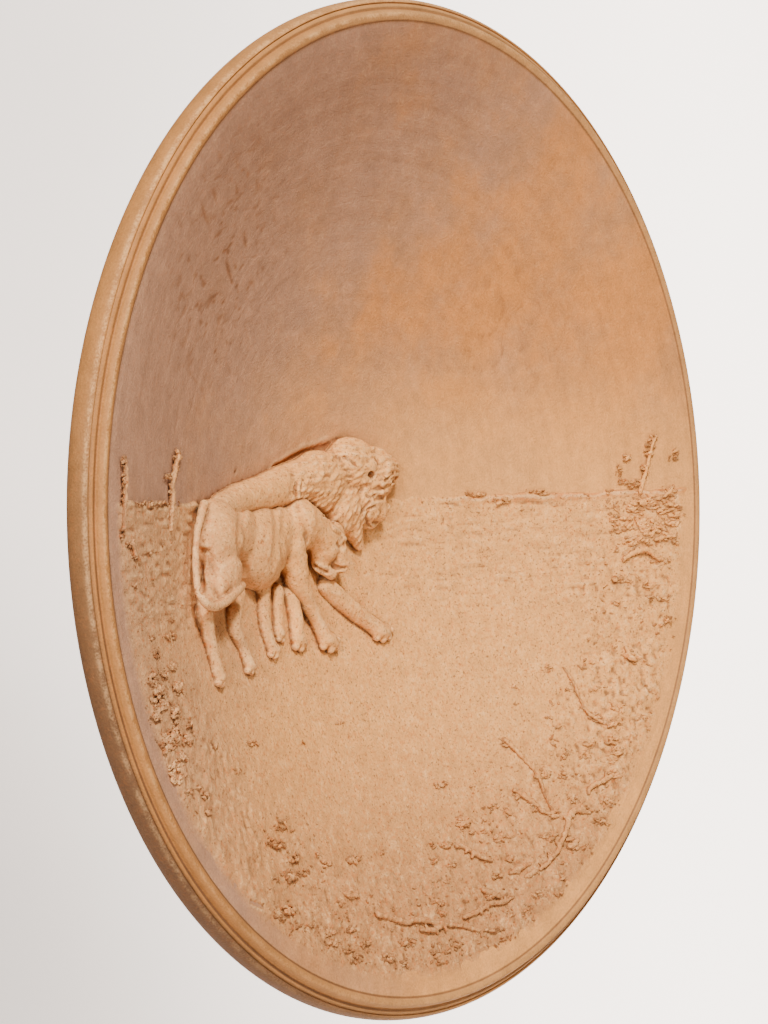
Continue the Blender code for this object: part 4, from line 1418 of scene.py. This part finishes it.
class WALLBOWL_OT_animals(bpy.types.Operator):
    """Lion behind, lioness in front, walking to the right"""

    bl_idname = "wall_bowl.animals"
    bl_label = "Animals"

    def execute(self, context):
        lion = figure(LION_MASSES, LION_LIMBS, LION_ROUNDS, LION_STROKES, lion_details)
        lioness = figure(
            LIONESS_MASSES, LIONESS_LIMBS, LIONESS_ROUNDS, LIONESS_STROKES, lioness_details, LIONESS_TAIL
        )
        both = Lump()
        both.add(*lion)
        both.add(*lioness)
        both.add(*hollow_sheet())
        points, faces = both.whole()
        tree = BVHTree.FromPolygons(points.tolist(), faces.tolist())
        for name, (points, faces) in {"lion": lion, "lioness": lioness}.items():
            normals = normals_of(points, faces)
            shown = points[:, 2] > hollow_level(points[:, 0], points[:, 1])
            # How shut in each point is, which the finish turns into painted shade
            shut = closed_in(points, normals, tree, shown)
            tone = crease_tone(points, faces, 6, 0.22)
            marks = {"ground": np.ones(len(points)), "shut": shut}
            finish_piece(name, points, faces, tone, clay_material(context), marks)
        self.shade_ground(tree)
        return {"FINISHED"}

    def shade_ground(self, tree):
        """Painted shade gathers on the ground and the sky close to the animals too."""
        for name in ("modelled_ground", "turned_bowl"):
            mesh = bpy.data.objects[name].data
            points = placed_points(mesh)
            level = hollow_level(points[:, 0], points[:, 1])
            near = (abs(points[:, 0] + 50) < 90) & (abs(points[:, 1] + 20) < 64)
            near &= points[:, 2] > level - 2
            out = np.stack([np.zeros(len(points)), np.zeros(len(points)), np.ones(len(points))], axis=1)
            raised = np.stack([points[:, 0], points[:, 1], np.maximum(points[:, 2], level + 0.6)], axis=1)
            attribute = mesh.attributes.new("shut", "FLOAT", "POINT")
            attribute.data.foreach_set("value", closed_in(raised, out, tree, near).astype(np.float32))


class WALLBOWL_OT_plants(bpy.types.Operator):
    """Bushes, saplings and tufts of small chips, scattered crumbs and laid twigs"""

    bl_idname = "wall_bowl.plants"
    bl_label = "Plants"

    def execute(self, context):
        rng = random.Random(7)
        chips = Lump()
        shifts = []
        for name, clumps in CLUMPS.items():
            darker = CLUMP_TONES.get(name, 0.0)
            for *field, size, count in clumps:
                for index in range(2 * count + count // 2):
                    spread = 1.15 if index < 2 * count else 1.9
                    across, up, reach = strewn(rng, field, spread)
                    scale = rng.uniform(0.5, 1.1) * (1.0 if index < 2 * count else 0.5)
                    heap = max(0.0, 1 - reach) * 0.7
                    shifts += self.add_chip(chips, rng, across, up, size * scale, heap, darker)
        for *field, size, count in CRUMB_FIELDS.values():
            for _ in range(count):
                across, up, _ = strewn(rng, field, 1.0)
                if up < ground_edge(across):
                    shifts += self.add_chip(chips, rng, across, up, size * rng.uniform(0.6, 1.5), 0.3, 0.0)
        points, faces = chips.whole()
        self.place_plants(context, "plant_chips", points, faces, np.array(shifts))
        twigs = Lump()
        for joints in TWIGS.values():
            twigs.limb(joints)
            self.add_stubs(twigs, rng, joints)
        points, faces = fused(twigs, TWIG_VOXEL, 1)
        points, faces = cut_behind(points, faces, 1.2)
        grain = Grain(41).rough(points[:, 0] + points[:, 2], points[:, 1], 1.6, 2) * 0.3
        points += normals_of(points, faces) * grain[:, None]
        self.place_plants(context, "twigs", points, faces, np.full(len(points), 0.12))
        self.shade_soil(points, faces, chips)
        return {"FINISHED"}

    def add_stubs(self, lump, rng, joints):
        """Knobs and broken side shoots along a twig."""
        for index in range(len(joints) - 1):
            across, up, lift, radius = between(joints, index, rng.uniform(0.2, 0.8))
            angle = rng.uniform(0, 2 * math.pi)
            reach = rng.uniform(1.5, 3.2)
            end = (across + reach * math.cos(angle), up + reach * math.sin(angle), lift, radius * 0.55)
            lump.limb([(across, up, lift + 0.2, radius * 0.9), end])

    def shade_soil(self, points, faces, chips):
        """Paints shadow on the ground where plants and twigs lie on it, a little below them."""
        both = Lump()
        both.add(points, faces)
        both.add(*chips.whole())
        places = both.whole()[0]
        cells = np.zeros((2 * SOIL_HALF_CELLS, 2 * SOIL_HALF_CELLS))
        level = hollow_level(places[:, 0], places[:, 1])
        low = places[(places[:, 2] > level) & (places[:, 2] < level + SOIL_HEIGHT)]
        column = np.round(low[:, 0] + SOIL_HALF_CELLS).astype(int)
        row = np.round(low[:, 1] + (SOIL_HALF_CELLS - SOIL_DROP)).astype(int)
        np.add.at(cells, (column, row), 1.0)
        cells = np.minimum(cells, SOIL_FULL) / SOIL_FULL
        soft = sum(np.roll(cells, (i, j), (0, 1)) for i in (-1, 0, 1) for j in (-1, 0, 1)) / 9
        for name in ("modelled_ground", "turned_bowl"):
            mesh = bpy.data.objects[name].data
            points = placed_points(mesh)
            cell = np.clip(np.round(points[:, :2] + SOIL_HALF_CELLS).astype(int), 0, len(cells) - 1)
            stored = mesh.attributes["shut"].data
            shut = np.empty(len(mesh.vertices), np.float32)
            stored.foreach_get("value", shut)
            front = points[:, 2] > hollow_level(points[:, 0], points[:, 1]) - 2
            # Painted shadow of the plants
            plant_shadow = SOIL_DARK * soft[cell[:, 0], cell[:, 1]] * front
            stored.foreach_set("value", np.maximum(shut, plant_shadow).astype(np.float32))

    def place_plants(self, context, name, points, faces, shifts):
        """Painted shade darkest at the foot, palest on top, and never higher than the lip's crest."""
        points[:, 2] = np.minimum(points[:, 2], LIP_CREST - 0.2)
        height = points[:, 2] - hollow_level(points[:, 0], points[:, 1])
        # Painted shade: chips and twigs are darker close to the hollow
        tone = np.clip(np.clip(1.15 - 0.34 * height, 0.44, 1.0) + shifts, 0.0, 1.0)
        marks = {"ground": np.ones(len(points))}
        obj = finish_piece(name, points, faces, tone, clay_material(context), marks)
        if name == "plant_chips":
            obj.data.shade_flat()

    def add_chip(self, lump, rng, across, up, size, heap, shift):
        """A small flat chip, longer along the ground, lying on the hollow or heaped on others."""
        if math.hypot(across, up) > CHIP_LIMIT:
            return []
        lift = 0.5 + size * (rng.uniform(0.0, 0.5) + heap)
        place, directions = seat(across, up, lift)
        first, second = swung(directions[0], directions[1], rng.gauss(0, 0.4))
        tilted, out = swung(second, directions[2], rng.uniform(-0.6, 0.6))
        shares = (rng.uniform(0.9, 1.7), rng.uniform(0.4, 0.75), rng.uniform(0.35, 0.65))
        halves = [size * share for share in shares]
        level = 2 if size > 0.75 else 1
        count = len(BALLS[level][0])
        jitter = np.array([rng.uniform(0.65, 1.2) for _ in range(count)])
        points = (BALLS[level][0] * jitter[:, None] * halves) @ np.stack([first, tilted, out]) + place
        lump.add(points, BALLS[level][1])
        return [shift + rng.uniform(-0.12, 0.12)] * count


class WALLBOWL_OT_studio(bpy.types.Operator):
    """Pale floor and sweep, soft lights and the camera"""

    bl_idname = "wall_bowl.studio"
    bl_label = "Studio"

    def execute(self, context):
        studio = context.scene.wall_bowl_studio
        self.add_camera()
        self.add_floor(studio)
        self.add_light("main_light", studio.key_power, MAIN_LIGHT_SIZE, MAIN_LIGHT_PLACE)
        self.add_light("fill_light", studio.fill_power, FILL_LIGHT_SIZE, FILL_LIGHT_PLACE)
        world = bpy.data.worlds.new("even_light")
        world.use_nodes = True
        background = world.node_tree.nodes["Background"]
        background.inputs["Color"].default_value = (1.0, 1.0, 1.0, 1.0)
        background.inputs["Strength"].default_value = studio.surround
        context.scene.world = world
        return {"FINISHED"}

    def to_world(self, direction):
        return Vector((direction[0], -direction[2], direction[1]))

    def add_camera(self):
        data = bpy.data.cameras.new("camera")
        data.lens = LENS
        data.sensor_width = 36.0
        data.clip_start = 0.05
        data.clip_end = 50.0
        camera = link_object("camera", data)
        columns = [self.to_world(axis) for axis in (EYE_RIGHT, EYE_UP, EYE_BACK)]
        turn = Matrix(columns).transposed().to_4x4()
        place = Vector((EYE[0], -(EYE[2] + BACK_PLANE), EYE[1] - FOOT_MIDDLE)) * MM
        camera.matrix_world = Matrix.Translation(place) @ turn
        bpy.context.scene.camera = camera

    def add_light(self, name, power, size, place):
        data = bpy.data.lights.new(name, "AREA")
        data.shape = "DISK"
        data.size = size
        data.energy = power
        light = link_object(name, data)
        light.location = place
        light.rotation_euler = (Vector(LIGHT_AIM) - light.location).to_track_quat("-Z", "Y").to_euler()

    def add_floor(self, studio):
        """A floor that curves up into a sweep behind the bowl, as the camera sees it."""
        bm = bmesh.new()
        section = [(FLOOR_NEAR, FLOOR_LEVEL), (FLOOR_BEND_START, FLOOR_LEVEL)]
        for step in range(1, FLOOR_BEND_STEPS + 1):
            turn = math.pi / 2 * step / FLOOR_BEND_STEPS
            reach = FLOOR_BEND_START + FLOOR_BEND * math.sin(turn)
            section.append((reach, FLOOR_LEVEL + FLOOR_BEND * (1 - math.cos(turn))))
        section.append((FLOOR_BEND_START + FLOOR_BEND, FLOOR_TOP))
        rows = []
        for along, up in section:
            rows.append([bm.verts.new((along, side * FLOOR_HALF_WIDTH, up)) for side in (-1, 1)])
        for near, far in zip(rows, rows[1:]):
            bm.faces.new((near[0], near[1], far[1], far[0]))
        mesh = bpy.data.meshes.new("floor")
        bm.to_mesh(mesh)
        bm.free()
        mesh.shade_smooth()
        floor_object = link_object("floor", mesh)
        away = Vector((-EYE_BACK[0], EYE_BACK[2], 0.0))
        floor_object.rotation_euler = (0, 0, math.atan2(away.y, away.x))
        mesh.materials.append(self.pale_floor(studio))

    def pale_floor(self, studio):
        """A pale finish that glows behind the bowl, as seen by the camera, and is dull elsewhere."""
        finish = Finish("pale_floor")
        place, ahead, beside, height = finish.place_parts()
        weave = finish.noise(place, 260.0, 2.0, 0.5)
        shade = finish.noise(place, 2.2, 2.0, 0.5)
        # Painted light: the sweep glows brighter on the camera's right, with a painted shadow darkening its
        # lower left beside the bowl and faint painted folds and weave in the glow; the glow fades outside
        # the camera's view
        bright = (0.75 - beside).step(0.0, 1.5) * 0.72 + 0.40
        bright = bright - (beside * 0.8 - height * 0.9).step(0.45, 1.3) * 0.22
        bright = bright * ((weave - 0.5) * 0.10 + (shade - 0.5) * 0.14 + 1.0)
        bright = bright * abs(beside).step(2.0, 1.2) * abs(height).step(2.6, 1.4) * ahead.step(0.5, 1.5)
        colour = opaque(studio.floor_colour)
        return finish.surfaced({
            "Base Color": colour,
            "Roughness": 0.95,
            "Emission Color": finish.shaded(colour, bright.most(studio.far_glow)),
            "Emission Strength": studio.floor_glow,
        })


class WALLBOWL_PT_panel(bpy.types.Panel):
    """Lists the pieces of the bowl and their settings"""

    bl_idname = "WALLBOWL_PT_panel"
    bl_label = "Wall bowl"
    bl_space_type = "VIEW_3D"
    bl_region_type = "UI"
    bl_category = "Wall bowl"

    def draw(self, context):
        for operator in OPERATORS:
            self.layout.operator(operator.bl_idname)
        for group in (context.scene.wall_bowl_clay, context.scene.wall_bowl_studio):
            box = self.layout.box()
            for key in group.bl_rna.properties.keys():
                if key not in ("rna_type", "name"):
                    box.prop(group, key)


OPERATORS = (
    WALLBOWL_OT_body, WALLBOWL_OT_ground, WALLBOWL_OT_animals, WALLBOWL_OT_plants, WALLBOWL_OT_studio,
)
CLASSES = (WallBowlClay, WallBowlStudio, *OPERATORS, WALLBOWL_PT_panel)


def register():
    for made in CLASSES:
        bpy.utils.register_class(made)
    bpy.types.Scene.wall_bowl_clay = bpy.props.PointerProperty(type=WallBowlClay)
    bpy.types.Scene.wall_bowl_studio = bpy.props.PointerProperty(type=WallBowlStudio)


def unregister():
    del bpy.types.Scene.wall_bowl_studio
    del bpy.types.Scene.wall_bowl_clay
    for made in reversed(CLASSES):
        bpy.utils.unregister_class(made)


def main():
    register()
    bpy.ops.wall_bowl.body()
    bpy.ops.wall_bowl.ground()
    bpy.ops.wall_bowl.animals()
    bpy.ops.wall_bowl.plants()
    bpy.ops.wall_bowl.studio()
    bpy.context.view_layer.update()


if __name__ == "__main__":
    main()
